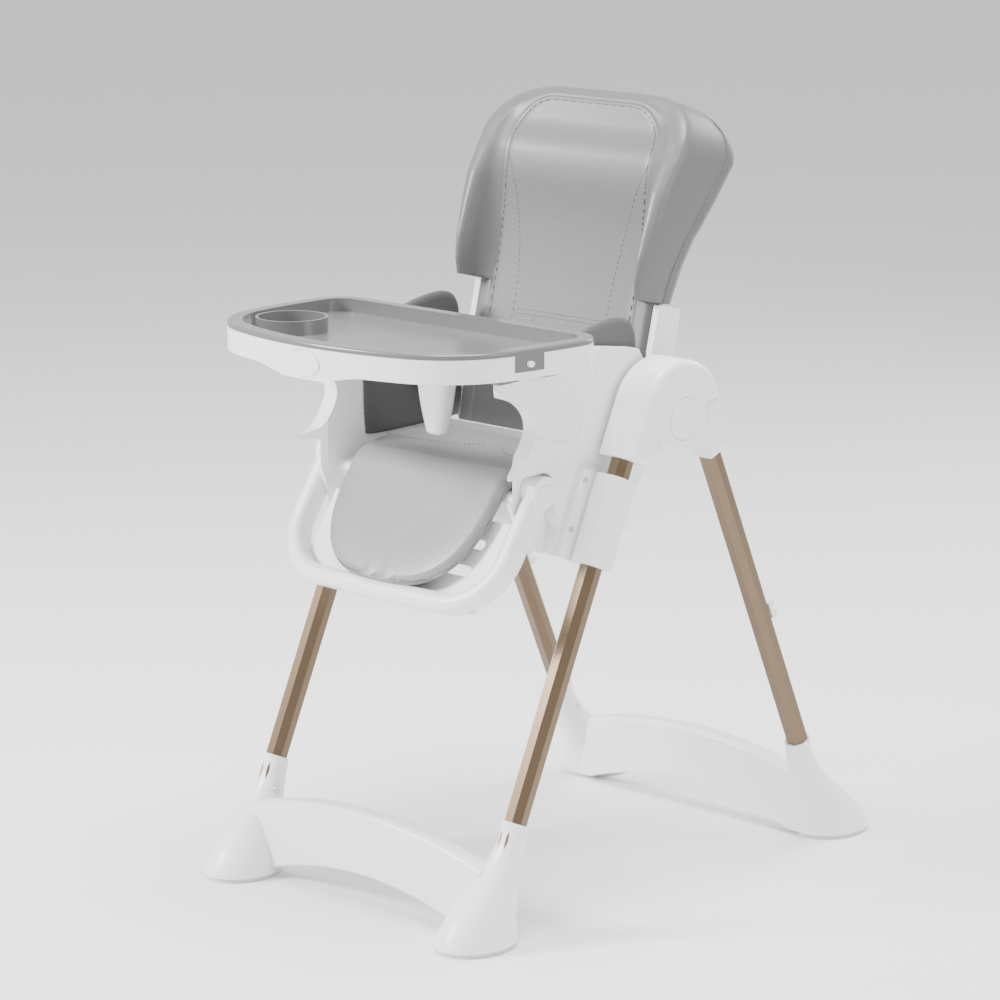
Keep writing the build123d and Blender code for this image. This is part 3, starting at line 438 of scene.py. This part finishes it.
def even_line(line: np.ndarray, count: int) -> np.ndarray:
    """The same line with evenly spaced points."""
    run = np.concatenate([[0], np.cumsum(np.linalg.norm(np.diff(line, axis=0), axis=1))])
    stops = np.linspace(0, run[-1], count)
    return np.stack([np.interp(stops, run, line[:, i]) for i in range(line.shape[1])], axis=1)


def welt(name: str, line: np.ndarray, radius: float) -> bpy.types.Object:
    """A round piping along a line.

    Args:
        name: The object's name.
        line: Points along the welt's middle, one row each.
        radius: The piping's radius.

    Returns:
        The welt as a mesh.
    """
    curve = bpy.data.curves.new(name, "CURVE")
    curve.dimensions = "3D"
    curve.bevel_depth = radius
    curve.bevel_resolution = WELT_SIDES
    curve.use_fill_caps = True
    spline = curve.splines.new("POLY")
    spline.points.add(len(line) - 1)
    for point, place in zip(spline.points, line):
        point.co = (*place, 1.0)
    piece = bpy.data.objects.new(name, curve)
    bpy.context.scene.collection.objects.link(piece)
    choose(piece)
    bpy.ops.object.convert(target="MESH")
    close_shell(piece)
    return piece


def stitches(name: str, lines: list[tuple[np.ndarray, np.ndarray]]) -> bpy.types.Object:
    """Rows of short sewn stitches.

    Args:
        name: The object's name.
        lines: For each row, its points on the surface and the surface's normals there.

    Returns:
        All stitches as one mesh of small closed beads.
    """
    clear_selection()
    bpy.ops.mesh.primitive_uv_sphere_add(segments=6, ring_count=4, radius=1.0)
    bead = bpy.context.object
    shape = coordinates(bead)
    faces = [list(face.vertices) for face in bead.data.polygons]
    bpy.data.objects.remove(bead)
    places, polygons = [], []
    for line, normals in lines:
        length = np.linalg.norm(np.diff(line, axis=0), axis=1).sum()
        count = max(int(length / STITCH_PITCH), 2)
        both = even_line(np.hstack([line, normals]), 2 * count)
        for i in range(0, 2 * count - 1, 2):
            head, tail = both[i, :3], both[i + 1, :3]
            up = both[i, 3:] / np.linalg.norm(both[i, 3:])
            apart = np.linalg.norm(tail - head)
            way = (tail - head) / max(apart, 1e-9)
            across = np.cross(up, way)
            middle = (head + tail) / 2 + STITCH_LIFT * up
            half = np.array([STITCH_SHARE * apart, STITCH_HALF_WIDTH, STITCH_HALF_HEIGHT])
            base = len(places) * len(shape)
            places.append(middle + (shape * half) @ np.array([way, across, up]))
            polygons.extend([[base + v for v in face] for face in faces])
    mesh = bpy.data.meshes.new(name)
    mesh.from_pydata(np.vstack(places).tolist(), [], polygons)
    piece = bpy.data.objects.new(name, mesh)
    bpy.context.scene.collection.objects.link(piece)
    close_shell(piece, 1e-6)
    return piece


def pad(
        name: str, count: tuple[int, int], flat: Callable, thick: Callable, place: Callable,
) -> bpy.types.Object:
    """A closed pad with rounded edges.

    Args:
        name: The object's name.
        count: Faces across and along.
        flat: From grid positions (-1 to 1, one row each) to positions on the laid-flat pad.
        thick: From flat positions and their distance from the edge to heights above and below the middle.
        place: From flat positions and heights to positions in space.

    Returns:
        The pad.
    """
    piece = new_grid(name, *count)
    apply_modifier(piece, "SOLIDIFY", thickness=1.0, offset=0.0)
    grid = coordinates(piece)
    laid = flat(grid[:, :2])
    around = np.linspace(-1, 1, RIM_STOPS)
    ones = np.ones_like(around)
    sides = ((around, -ones), (ones, around), (-around, ones), (-ones, -around))
    rim = flat(np.vstack([np.stack(pair, 1) for pair in sides]))
    above, below = thick(laid, nearest(laid, rim))
    heights = np.where(grid[:, 2] > 0, above, -below)
    place_vertices(piece, place(laid, heights))
    close_shell(piece)
    return piece


def round_edge(gap: np.ndarray, radius: float) -> np.ndarray:
    """How full a pad is near its edge, from 0 on the edge to 1 where gap reaches radius."""
    inside = np.clip(gap / radius, 0, 1)
    return np.sqrt(np.clip(1 - (1 - inside) ** 2, 0, 1))


def ease(value: np.ndarray, low: float, high: float) -> np.ndarray:
    """A smooth step from 0 at low to 1 at high."""
    t = np.clip((value - low) / (high - low), 0, 1)
    return t * t * (3 - 2 * t)


def finish_soft(piece: bpy.types.Object, body: str, finish: Finish) -> None:
    """Args:
        piece: The padded piece.
        body: The body that it rides on.
        finish: The finish to wear.
    """
    finish_trim(piece, body, finish)


def finish_trim(piece: bpy.types.Object, body: str, finish: Finish) -> None:
    """Dresses a piece of trim and joins it to a body.

    Args:
        piece: The trim.
        body: The body that it rides on.
        finish: The finish to wear.
    """
    dress(piece, finish)
    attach(piece, body)
    log.info("%s: %d faces", piece.name, len(piece.data.polygons))


# ------------------------------------------------------------------ reclining back
@dataclass
class BackCover:
    """The leather cover of the reclining back: a flat middle, two wings and a rolled top, in one skin."""

    hinge: Point = (0.0, 0.045, 0.610)
    tilt: float = radians(12)
    half: float = 0.131  # middle to the stitched outline
    seam_top: float = 0.425  # height of the stitched outline above the hinge
    corner: float = 0.060
    low: float = -0.030
    wing_low: float = 0.168
    front: float = 0.037
    skin: float = 0.003
    side_steps: int = 42
    low_steps: int = 14
    corner_steps: int = 22
    top_steps: int = 26
    panel_steps: int = 34
    band_steps: int = 60
    flare: float = 0.029  # the cover below the wings is this much wider than the stitched outline
    wing_step: float = 0.0012  # height of the straight cut under each wing
    crease_depth: float = 0.0012
    crease_half: float = 0.0035
    stitch_inset: float = 0.0028
    stitch_skip: int = 6  # stops at each end of the outline that have no stitches
    piping_share: float = 0.70  # where the piping lies, as a share of the section
    piping_radius: float = 0.0013
    # heights above the hinge, then the depth of the rear edge, the depth of the crest and the half width there
    rear_line: tuple = ((0.15, 0.218, 0.258, 0.316, 0.364, 0.386, 0.41, 0.43),
                        (0.001, -0.003, -0.013, -0.042, -0.063, -0.065, -0.042, -0.012))
    crest_line: tuple = ((0.168, 0.19, 0.22, 0.27, 0.31, 0.35, 0.38, 0.42),
                         (0.074, 0.081, 0.083, 0.078, 0.073, 0.060, 0.047, 0.030))
    wing_half: tuple = ((0.168, 0.22, 0.272, 0.365), (0.170, 0.178, 0.184, 0.188))
    inner_seam: tuple = ((0.128, 0.345), (0.117, 0.320), (0.104, 0.280), (0.092, 0.220), (0.086, 0.160),
                         (0.087, 0.112), (0.091, 0.070))
    cross_seams: tuple = (0.128, 0.134)
    cross_half: float = 0.078

    def put(self, x: np.ndarray, depth: np.ndarray, height: np.ndarray) -> np.ndarray:
        """Places in space from sideways distance, depth forward of the hinge and height up the back."""
        s, c = sin(self.tilt), cos(self.tilt)
        y = self.hinge[1] - c * depth + s * height
        z = self.hinge[2] + s * depth + c * height
        return np.stack([x + 0 * y, y, z], axis=-1)

    def face(self, x: np.ndarray, height: np.ndarray) -> np.ndarray:
        """Depth of the middle panel's face."""
        roll = 0.0065 * np.exp(-((height - 0.340) / 0.052) ** 2)
        curl = -0.0085 * ease(height, 0.350, 0.400)
        dish = 0.0035 * (x / self.half) ** 2
        hollow = -0.004 * np.exp(-((height - 0.19) / 0.09) ** 2)
        return self.front + roll + curl + dish + hollow

    def stations(self) -> dict[str, np.ndarray]:
        """Stops along the stitched outline, up the left side, over the top and down the right.

        Returns:
            Arrays of the outline's x and height, the outward way and each stop's own centre height.
        """
        shoulder = self.seam_top - self.corner
        low = np.linspace(self.low, self.wing_low, self.low_steps)
        high = np.linspace(self.wing_low + self.wing_step, shoulder, self.side_steps, endpoint=False)
        rise = np.concatenate([low, high])
        turn = np.linspace(0, pi / 2, self.corner_steps, endpoint=False)
        flat = self.half - self.corner
        top = np.linspace(flat, 0, self.top_steps // 2 + 1)
        x = np.concatenate([np.full(len(rise), self.half), flat + self.corner * np.cos(turn), top])
        h = np.concatenate([rise, shoulder + self.corner * np.sin(turn), np.full(len(top), self.seam_top)])
        way_x = np.concatenate([np.ones(len(rise)), np.cos(turn), np.zeros(len(top))])
        way_h = np.concatenate([np.zeros(len(rise)), np.sin(turn), np.ones(len(top))])
        centre = np.minimum(h, shoulder)
        back = slice(-2, None, -1)
        return {
            "x": np.concatenate([x, -x[back]]), "h": np.concatenate([h, h[back]]),
            "way_x": np.concatenate([way_x, -way_x[back]]), "way_h": np.concatenate([way_h, way_h[back]]),
            "centre": np.concatenate([centre, centre[back]]),
        }

    def band(self, x: float, height: float, wing: float) -> np.ndarray:
        """Section of the cover outside the stitched outline, at one station: flat below the wings.

        Args:
            x: The outline's sideways place.
            height: The outline's height.
            wing: 1 on the sides, 0 on the top.

        Returns:
            Rows of outward distance and depth, from the seam over the crest to the rear edge.
        """
        seam = float(self.face(np.array(x), np.array(height)))
        if height <= self.wing_low:
            wide = self.flare
            flap = [
                (0, seam), (0.4 * wide, seam), (0.75 * wide, seam - 0.001), (0.93 * wide, seam - 0.004),
                (wide, 0.028), (wide + 0.0005, 0.024), (wide, 0.020), (0.97 * wide, 0.018),
            ]
            return smooth_line([(a, b, 0.0) for a, b in flap], self.band_steps + 1)[:, :2]
        out = float(np.interp(height, *self.wing_half)) - self.half
        rear = float(np.interp(height, *self.rear_line))
        crest = float(np.interp(height, *self.crest_line))
        rise = crest - seam
        shoulder = 0.034 + 0.5 * (out - 0.034)
        side = np.array([
            (0, seam), (0.009, seam + 0.10 * rise), (0.0185, seam + 0.34 * rise), (0.0255, seam + 0.72 * rise),
            (0.033, crest - 0.0015), (shoulder, crest - 0.003), (out - 0.0015, crest - 0.013),
            (out, (crest + rear) / 2 + 0.004), (out - 0.001, rear + 0.021), (out - 0.001, rear + 0.010),
            (out - 0.009, rear), (0.010, rear - 0.003),
        ])
        top = np.array([
            (0, seam), (0.004, seam - 0.0005), (0.009, seam - 0.0025), (0.0135, seam - 0.007), (0.016, 0.020),
            (0.0175, 0.014), (0.0182, 0.009), (0.0182, 0.005), (0.0178, 0.001), (0.0165, -0.005),
            (0.011, -0.011), (-0.002, -0.016),
        ])
        share = wing**1.2
        mixed = share * side + (1 - share) * top
        return smooth_line([(a, b, 0.0) for a, b in mixed], self.band_steps + 1)[:, :2]

    def crease(self, away: np.ndarray) -> np.ndarray:
        """How deep the cover is drawn in at a distance from the stitched outline."""
        return self.crease_depth * np.exp(-(away / self.crease_half) ** 2)

    def build(self) -> bpy.types.Object:
        """Makes the cover.

        Returns:
            The closed skin of the cover.
        """
        stops = self.stations()
        count = len(stops["x"])
        rows = self.panel_steps + self.band_steps + 1
        table = np.zeros((count, rows, 3))
        for i in range(count):
            x, h = stops["x"][i], stops["h"][i]
            share = np.linspace(0, 1, self.panel_steps, endpoint=False)
            px = x * share
            ph = stops["centre"][i] + (h - stops["centre"][i]) * share
            depth = self.face(px, ph) - self.crease((1 - share) * self.half)
            table[i, :self.panel_steps] = self.put(px, depth, ph)
            wing = stops["way_x"][i] ** 2
            section = self.band(x, h, wing)
            deep = section[:, 1] - self.crease(section[:, 0])
            table[i, self.panel_steps:] = self.put(
                x + stops["way_x"][i] * section[:, 0], deep, h + stops["way_h"][i] * section[:, 0])
        piece = new_grid("back_cover", count - 1, rows - 1)
        grid = coordinates(piece)
        i = np.rint((grid[:, 0] + 1) / 2 * (count - 1)).astype(int)
        j = np.rint((grid[:, 1] + 1) / 2 * (rows - 1)).astype(int)
        place_vertices(piece, table[i, j])
        close_shell(piece, 0.0001)
        self.face_forward(piece)
        apply_modifier(piece, "SOLIDIFY", thickness=self.skin, offset=-1.0, use_even_offset=False)
        return piece

    @staticmethod
    def face_forward(piece: bpy.types.Object) -> None:
        """Turns the skin's faces so that its middle faces the child's front."""
        middle = sum(p.normal.y * p.area for p in piece.data.polygons if abs(p.center.x) < 0.1)
        if middle > 0:
            choose(piece)
            bpy.ops.object.mode_set(mode="EDIT")
            bpy.ops.mesh.select_all(action="SELECT")
            bpy.ops.mesh.flip_normals()
            bpy.ops.object.mode_set(mode="OBJECT")

    def on_face(self, line: np.ndarray) -> tuple[np.ndarray, np.ndarray]:
        """Lays a line of (x, height) points on the middle panel.

        Args:
            line: Rows of sideways place and height.

        Returns:
            The points in space and the way out of the panel there.
        """
        x, h = line[:, 0], line[:, 1]
        depth = self.face(x, h)
        step = 0.001
        here = self.put(x, depth, h)
        along_x = self.put(x + step, self.face(x + step, h), h) - here
        along_h = self.put(x, self.face(x, h + step), h + step) - here
        out = np.cross(along_x, along_h)
        out *= -np.sign(out[:, 1:2])
        return here, out / np.linalg.norm(out, axis=1, keepdims=True)

    def seams(self) -> list[tuple[np.ndarray, np.ndarray]]:
        """The stitched lines of the middle panel.

        Returns:
            For each line, its points and the way out there.
        """
        stops = self.stations()
        outline = np.stack([stops["x"], stops["h"]], 1)
        inset = np.stack([stops["way_x"], stops["way_h"]], 1) * self.stitch_inset
        lines = [(outline - inset)[self.stitch_skip:-self.stitch_skip]]
        inner = smooth_line([(a, b, 0) for a, b in self.inner_seam], 90)[:, :2]
        lines.extend(inner * [side.value, 1] for side in Side)
        for height in self.cross_seams:
            lines.append(np.stack([np.linspace(-self.cross_half, self.cross_half, 60), np.full(60, height)], 1))
        lines.append(np.stack([np.full(20, -0.047), np.linspace(0.088, 0.124, 20)], 1))
        return [self.on_face(line) for line in lines]

    def rear_welt(self) -> np.ndarray:
        """The piping line along the wings' rear edges and over the top."""
        stops = self.stations()
        keep = range(self.low_steps, len(stops["x"]) - self.low_steps)
        points = []
        for i in keep:
            x, h = stops["x"][i], stops["h"][i]
            section = self.band(x, h, stops["way_x"][i] ** 2)
            at = section[int(self.piping_share * self.band_steps)]
            points.append(self.put(x + stops["way_x"][i] * at[0], at[1], h + stops["way_h"][i] * at[0]))
        return np.array(points)

    def make(self) -> None:
        """Builds the cover, its stitches and its piping."""
        cover = self.build()
        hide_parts("back_pad", "back_wing_left", "back_wing_right")
        finish_soft(cover, "back", BACK)
        thread = stitches("back_stitching", self.seams())
        finish_trim(thread, "back", THREAD)
        piping = welt("back_piping", self.rear_welt(), self.piping_radius)
        finish_trim(piping, "back", BACK)


# ------------------------------------------------------------------ seat and calf cover
@dataclass
class SeatCover:
    """The seat's padded cover, which runs over the rounded front edge and down the footrest."""

    rear: float = -0.014
    top: float = 0.5865
    half: float = 0.167
    thick: float = 0.024
    pivot: tuple[float, float] = (-0.2025, 0.5685)
    tilt: float = radians(36.5)
    calf_face: float = 0.0150
    calf_end: float = 0.166
    nose_radius: float = 0.040
    calf_half: float = 0.141
    across: int = 84
    along: int = 150
    edge_round: float = 0.012
    welt_radius: float = 0.0019
    welt_skip: int = 6  # points at each end of the edge that have no welt
    curve: tuple = ((0.160, 0.118), (0.120, 0.116), (0.060, 0.106), (0.030, 0.090), (0.018, 0.074))
    total: float = field(init=False, default=0.0)  # length of the side line
    calf_from: float = field(init=False, default=0.0)  # where the calf part starts along it

    def path(self) -> tuple[np.ndarray, np.ndarray]:
        """The side line of the cover's face, from the rear of the seat to the calf's tip.

        Returns:
            Rows of y and z, and the ways out of the face there.
        """
        down = np.array([-sin(self.tilt), -cos(self.tilt)])
        out = np.array([-cos(self.tilt), sin(self.tilt)])
        base = np.array(self.pivot) + self.calf_face * out
        to_corner = (self.top - base[1]) / down[1]
        corner = base + to_corner * down
        turn = pi / 2 - self.tilt
        reach = self.nose_radius * tan(turn / 2)
        seat_end = corner + np.array([reach, 0.0])
        centre = seat_end - np.array([0.0, self.nose_radius])
        angles = np.linspace(pi / 2, pi / 2 + turn, 40)
        nose = centre + self.nose_radius * np.stack([np.cos(angles), np.sin(angles)], 1)
        seat = np.stack([np.linspace(self.rear, seat_end[0], 120), np.full(120, self.top)], 1)
        calf_length = self.calf_end - to_corner - reach
        calf = nose[-1] + np.linspace(0, calf_length, 100)[:, None] * down
        whole = even_line(np.vstack([seat, nose[1:], calf[1:]]), 600)
        slope = np.gradient(whole, axis=0)
        slope /= np.linalg.norm(slope, axis=1, keepdims=True)
        ways = np.stack([slope[:, 1], -slope[:, 0]], 1)
        self.total = float(np.linalg.norm(np.diff(whole, axis=0), axis=1).sum())
        self.calf_from = self.total - self.calf_end
        return whole, ways

    def half_width(self, run: np.ndarray) -> np.ndarray:
        """Half the cover's width at a distance along its side line."""
        down = np.clip((run - self.calf_from) / self.calf_end, 0, 1)
        tip = (1 - down**3.0) ** (1 / 2.6)
        narrow = ease(run, self.calf_from - 0.085, self.calf_from - 0.012)
        return (self.half + (self.calf_half - self.half) * narrow) * tip

    def flat(self, grid: np.ndarray) -> np.ndarray:
        """Flat places of the grid: sideways and along the side line."""
        bunched = np.sin((grid[:, 1] + 1) / 2 * pi / 2)
        share = 0.55 * (grid[:, 1] + 1) / 2 + 0.45 * bunched
        run = share * self.total
        return np.stack([grid[:, 0] * self.half_width(run), run], 1)

    def thickness(self, laid: np.ndarray, gap: np.ndarray) -> tuple[np.ndarray, np.ndarray]:
        """Heights above and below the cover's middle.

        Args:
            laid: Flat places.
            gap: Distance from the cover's edge.

        Returns:
            The upper and the lower heights.
        """
        full = self.thick / 2
        calf = ease(laid[:, 1], self.calf_from, self.calf_from + 0.03)
        calf_edge = 0.62 * round_edge(gap, 0.010) + 0.38 * round_edge(gap, 0.045)
        edge = (1 - calf) * round_edge(gap, self.edge_round) + calf * calf_edge
        dish = -0.004 * (1 - calf) * np.exp(-((laid[:, 0] / 0.09) ** 2 + ((laid[:, 1] - 0.09) / 0.07) ** 2))
        return full * edge + dish, (full - 0.003 * calf) * edge * (1 - 0.12 * calf)

    def place(self, laid: np.ndarray, heights: np.ndarray) -> np.ndarray:
        """Places in space from flat places and heights above the cover's middle."""
        line, ways = self.path()
        runs = np.linspace(0, self.total, len(line))
        y, z = (np.interp(laid[:, 1], runs, line[:, k]) for k in (0, 1))
        out_y, out_z = (np.interp(laid[:, 1], runs, ways[:, k]) for k in (0, 1))
        lift = heights - self.thick / 2
        return np.stack([laid[:, 0], y + out_y * lift, z + out_z * lift], 1)

    def row(self, side: Side) -> tuple[np.ndarray, np.ndarray]:
        """The stitched curve of one side, on the cover's face.

        Args:
            side: Which side of the seat.

        Returns:
            The points and the ways out there.
        """
        laid = smooth_line([(side.value * a, b, 0) for a, b in self.curve], 80)[:, :2]
        step = 0.01
        low = self.place(laid, np.full(len(laid), self.thick / 2))
        high = self.place(laid, np.full(len(laid), self.thick / 2 + step))
        return low, (high - low) / step

    def make(self) -> None:
        """Builds the cover, its stitches and the welt round its edge."""
        self.path()
        cover = pad("seat_cover", (self.across, self.along), self.flat, self.thickness, self.place)
        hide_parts("seat_pad", "calf_pad")
        finish_bent(cover, SEAT)
        side = np.linspace(0, 1, 300)
        run = self.total * (0.5 * side + 0.5 * np.sin(side * pi / 2))
        right = np.stack([self.half_width(run), run], 1)
        rim = even_line(np.vstack([right, right[-2::-1] * [-1, 1]]), 500)[self.welt_skip:-self.welt_skip]
        edge = welt("seat_welt", self.place(rim, np.zeros(len(rim))), self.welt_radius)
        finish_bent(edge, WELT)
        thread = stitches("seat_stitching", [self.row(side) for side in Side])
        finish_trim(thread, "seat", THREAD)


def finish_bent(piece: bpy.types.Object, finish: Finish) -> None:
    """Dresses a piece that runs from the seat over onto the footrest, and bakes its transform into its mesh.

    Args:
        piece: The finished piece.
        finish: The finish to wear.
    """
    dress(piece, finish)
    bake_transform(piece)
    log.info("%s: %d faces", piece.name, len(piece.data.polygons))


# ------------------------------------------------------------------ side pads
@dataclass
class SidePads:
    """The padded ears beside the child's hips and the thin lining of each arm in front of them."""

    ear_middle: float = 0.164
    ear_half: float = 0.0054
    ear_round: float = 0.010
    lining_middle: float = 0.1722
    lining_half: float = 0.0016
    lining_round: float = 0.004
    ear: tuple = ((0.004, 0.640), (-0.050, 0.648), (-0.092, 0.680), (-0.122, 0.725), (-0.112, 0.752),
                  (-0.070, 0.766), (-0.020, 0.770), (0.006, 0.752), (0.010, 0.700))
    lining: tuple = ((0.018, 0.592), (-0.080, 0.588), (-0.152, 0.588), (-0.161, 0.598), (-0.164, 0.650),
                     (-0.163, 0.712), (-0.155, 0.725), (-0.080, 0.7275), (0.012, 0.727), (0.022, 0.700),
                     (0.022, 0.620))

    def make(self) -> None:
        """Builds the ears and the linings of both sides."""
        for side in Side:
            ear = self.lobe(f"side_ear_{side.word}", side, self.ear, self.ear_middle, self.ear_half,
                            self.ear_round)
            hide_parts(f"seat_side_pad_{side.word}")
            finish_soft(ear, "seat", EAR)
            lining = self.lobe(f"side_lining_{side.word}", side, self.lining, self.lining_middle,
                               self.lining_half, self.lining_round)
            finish_soft(lining, "seat", EAR)

    @staticmethod
    def lobe(
            name: str, side: Side, outline: tuple, middle: float, half: float, round_by: float,
    ) -> bpy.types.Object:
        """A flat pad that stands beside the child.

        Args:
            name: The object's name.
            side: Which side of the seat.
            outline: Rows of y and z round its edge.
            middle: Sideways place of its middle.
            half: Half its thickness.
            round_by: How far its rounding reaches in from the edge.

        Returns:
            The pad.
        """
        ring = np.array(outline)
        closed = np.vstack([ring, ring[:1]])
        rim = smooth_line([(a, b, 0) for a, b in closed], 241)[:, :2]
        centre = rim.mean(axis=0)

        def flat(grid: np.ndarray) -> np.ndarray:
            """Maps the square grid to the outline, ring by ring."""
            reach = np.abs(grid).max(axis=1)
            turn = square_turn(grid)
            at = turn * (len(rim) - 1)
            edge = np.stack([np.interp(at, np.arange(len(rim)), rim[:, k]) for k in (0, 1)], 1)
            return centre + (edge - centre) * reach[:, None]

        def thick(laid: np.ndarray, gap: np.ndarray) -> tuple[np.ndarray, np.ndarray]:
            """A rounded edge on the child's side, and a flatter one on the wall's."""
            full = half * round_edge(gap, round_by)
            return full * (1 + 0.25 * ease(gap, 0, 0.05)), full

        def put(laid: np.ndarray, heights: np.ndarray) -> np.ndarray:
            """Stands the pad up beside the child."""
            return np.stack([side.value * (middle - heights), laid[:, 0], laid[:, 1]], 1)

        return pad(name, (60, 60), flat, thick, put)


def square_turn(grid: np.ndarray) -> np.ndarray:
    """How far round the square each grid place lies, from 0 to 1."""
    reach = np.maximum(np.abs(grid).max(axis=1), 1e-9)
    a, b = grid[:, 0] / reach, grid[:, 1] / reach
    bottom = (b <= -1 + 1e-6)
    right = (a >= 1 - 1e-6) & ~bottom
    top = (b >= 1 - 1e-6) & ~bottom & ~right
    turn = np.where(bottom, (a + 1) / 2, 0.0)
    turn = np.where(right, 1 + (b + 1) / 2, turn)
    turn = np.where(top, 2 + (1 - a) / 2, turn)
    turn = np.where(~bottom & ~right & ~top, 3 + (1 - b) / 2, turn)
    return turn / 4


# ------------------------------------------------------------------ hard parts
@dataclass
class HardParts:
    """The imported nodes, which keep their shapes and get their finishes."""

    special: dict[str, Finish] = field(default_factory=lambda: {"recline_handle": TRAY})

    def dress(self, nodes: dict, record: dict) -> None:
        """Gives every node its finish.

        Args:
            nodes: Objects by node name.
            record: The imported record.
        """
        slots = {part["node"]: Slot(part["material_slot"]) for part in record["subparts"]}
        for name, node in sorted(nodes.items()):
            finish = self.special.get(name, FINISH_OF_SLOT[slots[name]])
            node.data.materials.clear()
            node.data.materials.append(finish.material())
            log.info("%s wears %s", name, finish.name)


# ------------------------------------------------------------------ studio
@dataclass
class Studio:
    """Camera, soft lights, surround and floor."""

    look_at: Point = (-0.0714, -0.0036, 0.4880)
    azimuth: float = radians(44.377)
    elevation: float = radians(12.044)
    distance: float = 5.1164
    sensor: float = 36.0  # millimetres
    lens: float = 134.3  # millimetres
    floor_half: float = 14.0
    surround: float = 0.95
    light_aim: Point = (0.0, 0.0, 0.5)
    # name, place, size in metres and power in watts
    lights: tuple = (
        ("key_light", (-2.2, -3.2, 2.6), 1.2, 330.0), ("top_light", (0.3, -0.2, 3.4), 1.6, 170.0),
        ("side_light", (3.4, 0.4, 1.6), 1.6, 36.0), ("rear_light", (0.2, 3.4, 2.2), 2.0, 80.0),
    )

    def camera(self) -> None:
        """Sets the camera."""
        data = bpy.data.cameras.new("studio_camera")
        data.sensor_width = self.sensor
        data.lens = self.lens
        eye = bpy.data.objects.new("studio_camera", data)
        bpy.context.scene.collection.objects.link(eye)
        a, e = self.azimuth, self.elevation
        out = Vector((sin(a) * cos(e), -cos(a) * cos(e), sin(e)))
        eye.location = Vector(self.look_at) + out * self.distance
        eye.rotation_mode = "QUATERNION"
        eye.rotation_quaternion = (-out).to_track_quat("-Z", "Y")
        bpy.context.scene.camera = eye

    def light(self, name: str, place: Point, size: float, power: float) -> None:
        """Adds a square soft light.

        Args:
            name: The light's name.
            place: Where it stands.
            size: The length of its side.
            power: Its strength in watts.
        """
        data = bpy.data.lights.new(name, "AREA")
        data.shape = "SQUARE"
        data.size = size
        data.energy = power
        lamp = bpy.data.objects.new(name, data)
        bpy.context.scene.collection.objects.link(lamp)
        lamp.location = place
        lamp.rotation_mode = "QUATERNION"
        lamp.rotation_quaternion = (Vector(self.light_aim) - Vector(place)).to_track_quat("-Z", "Y")

    def floor(self) -> None:
        """Lays the pale, flat floor."""
        clear_selection()
        bpy.ops.mesh.primitive_grid_add(x_subdivisions=2, y_subdivisions=2, size=2 * self.floor_half)
        ground = bpy.context.object
        ground.name = "studio_floor"
        ground.data.materials.append(FLOOR.material())

    def sky(self) -> None:
        """Gives the room its soft white surround."""
        world = bpy.data.worlds.new("studio_room")
        bpy.context.scene.world = world
        world.use_nodes = True
        ground = world.node_tree.nodes["Background"]
        ground.inputs["Color"].default_value = (1.0, 1.0, 1.0, 1.0)
        ground.inputs["Strength"].default_value = self.surround

    def build(self) -> None:
        """Sets up the whole studio."""
        self.camera()
        self.floor()
        self.sky()
        for name, place, size, power in self.lights:
            self.light(name, place, size, power)


def main() -> None:
    """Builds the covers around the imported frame, dresses everything and sets up the studio."""
    logging.basicConfig(level=logging.INFO, format="%(name)s: %(message)s")
    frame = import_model()
    clear_selection()
    for make_group in (patches_group, grain_group, skin_group):
        make_group()
    HardParts().dress(frame["nodes"], frame["record"])
    BackCover().make()
    SeatCover().make()
    SidePads().make()
    Studio().build()
    clear_selection()


if __name__ == "__main__":
    main()
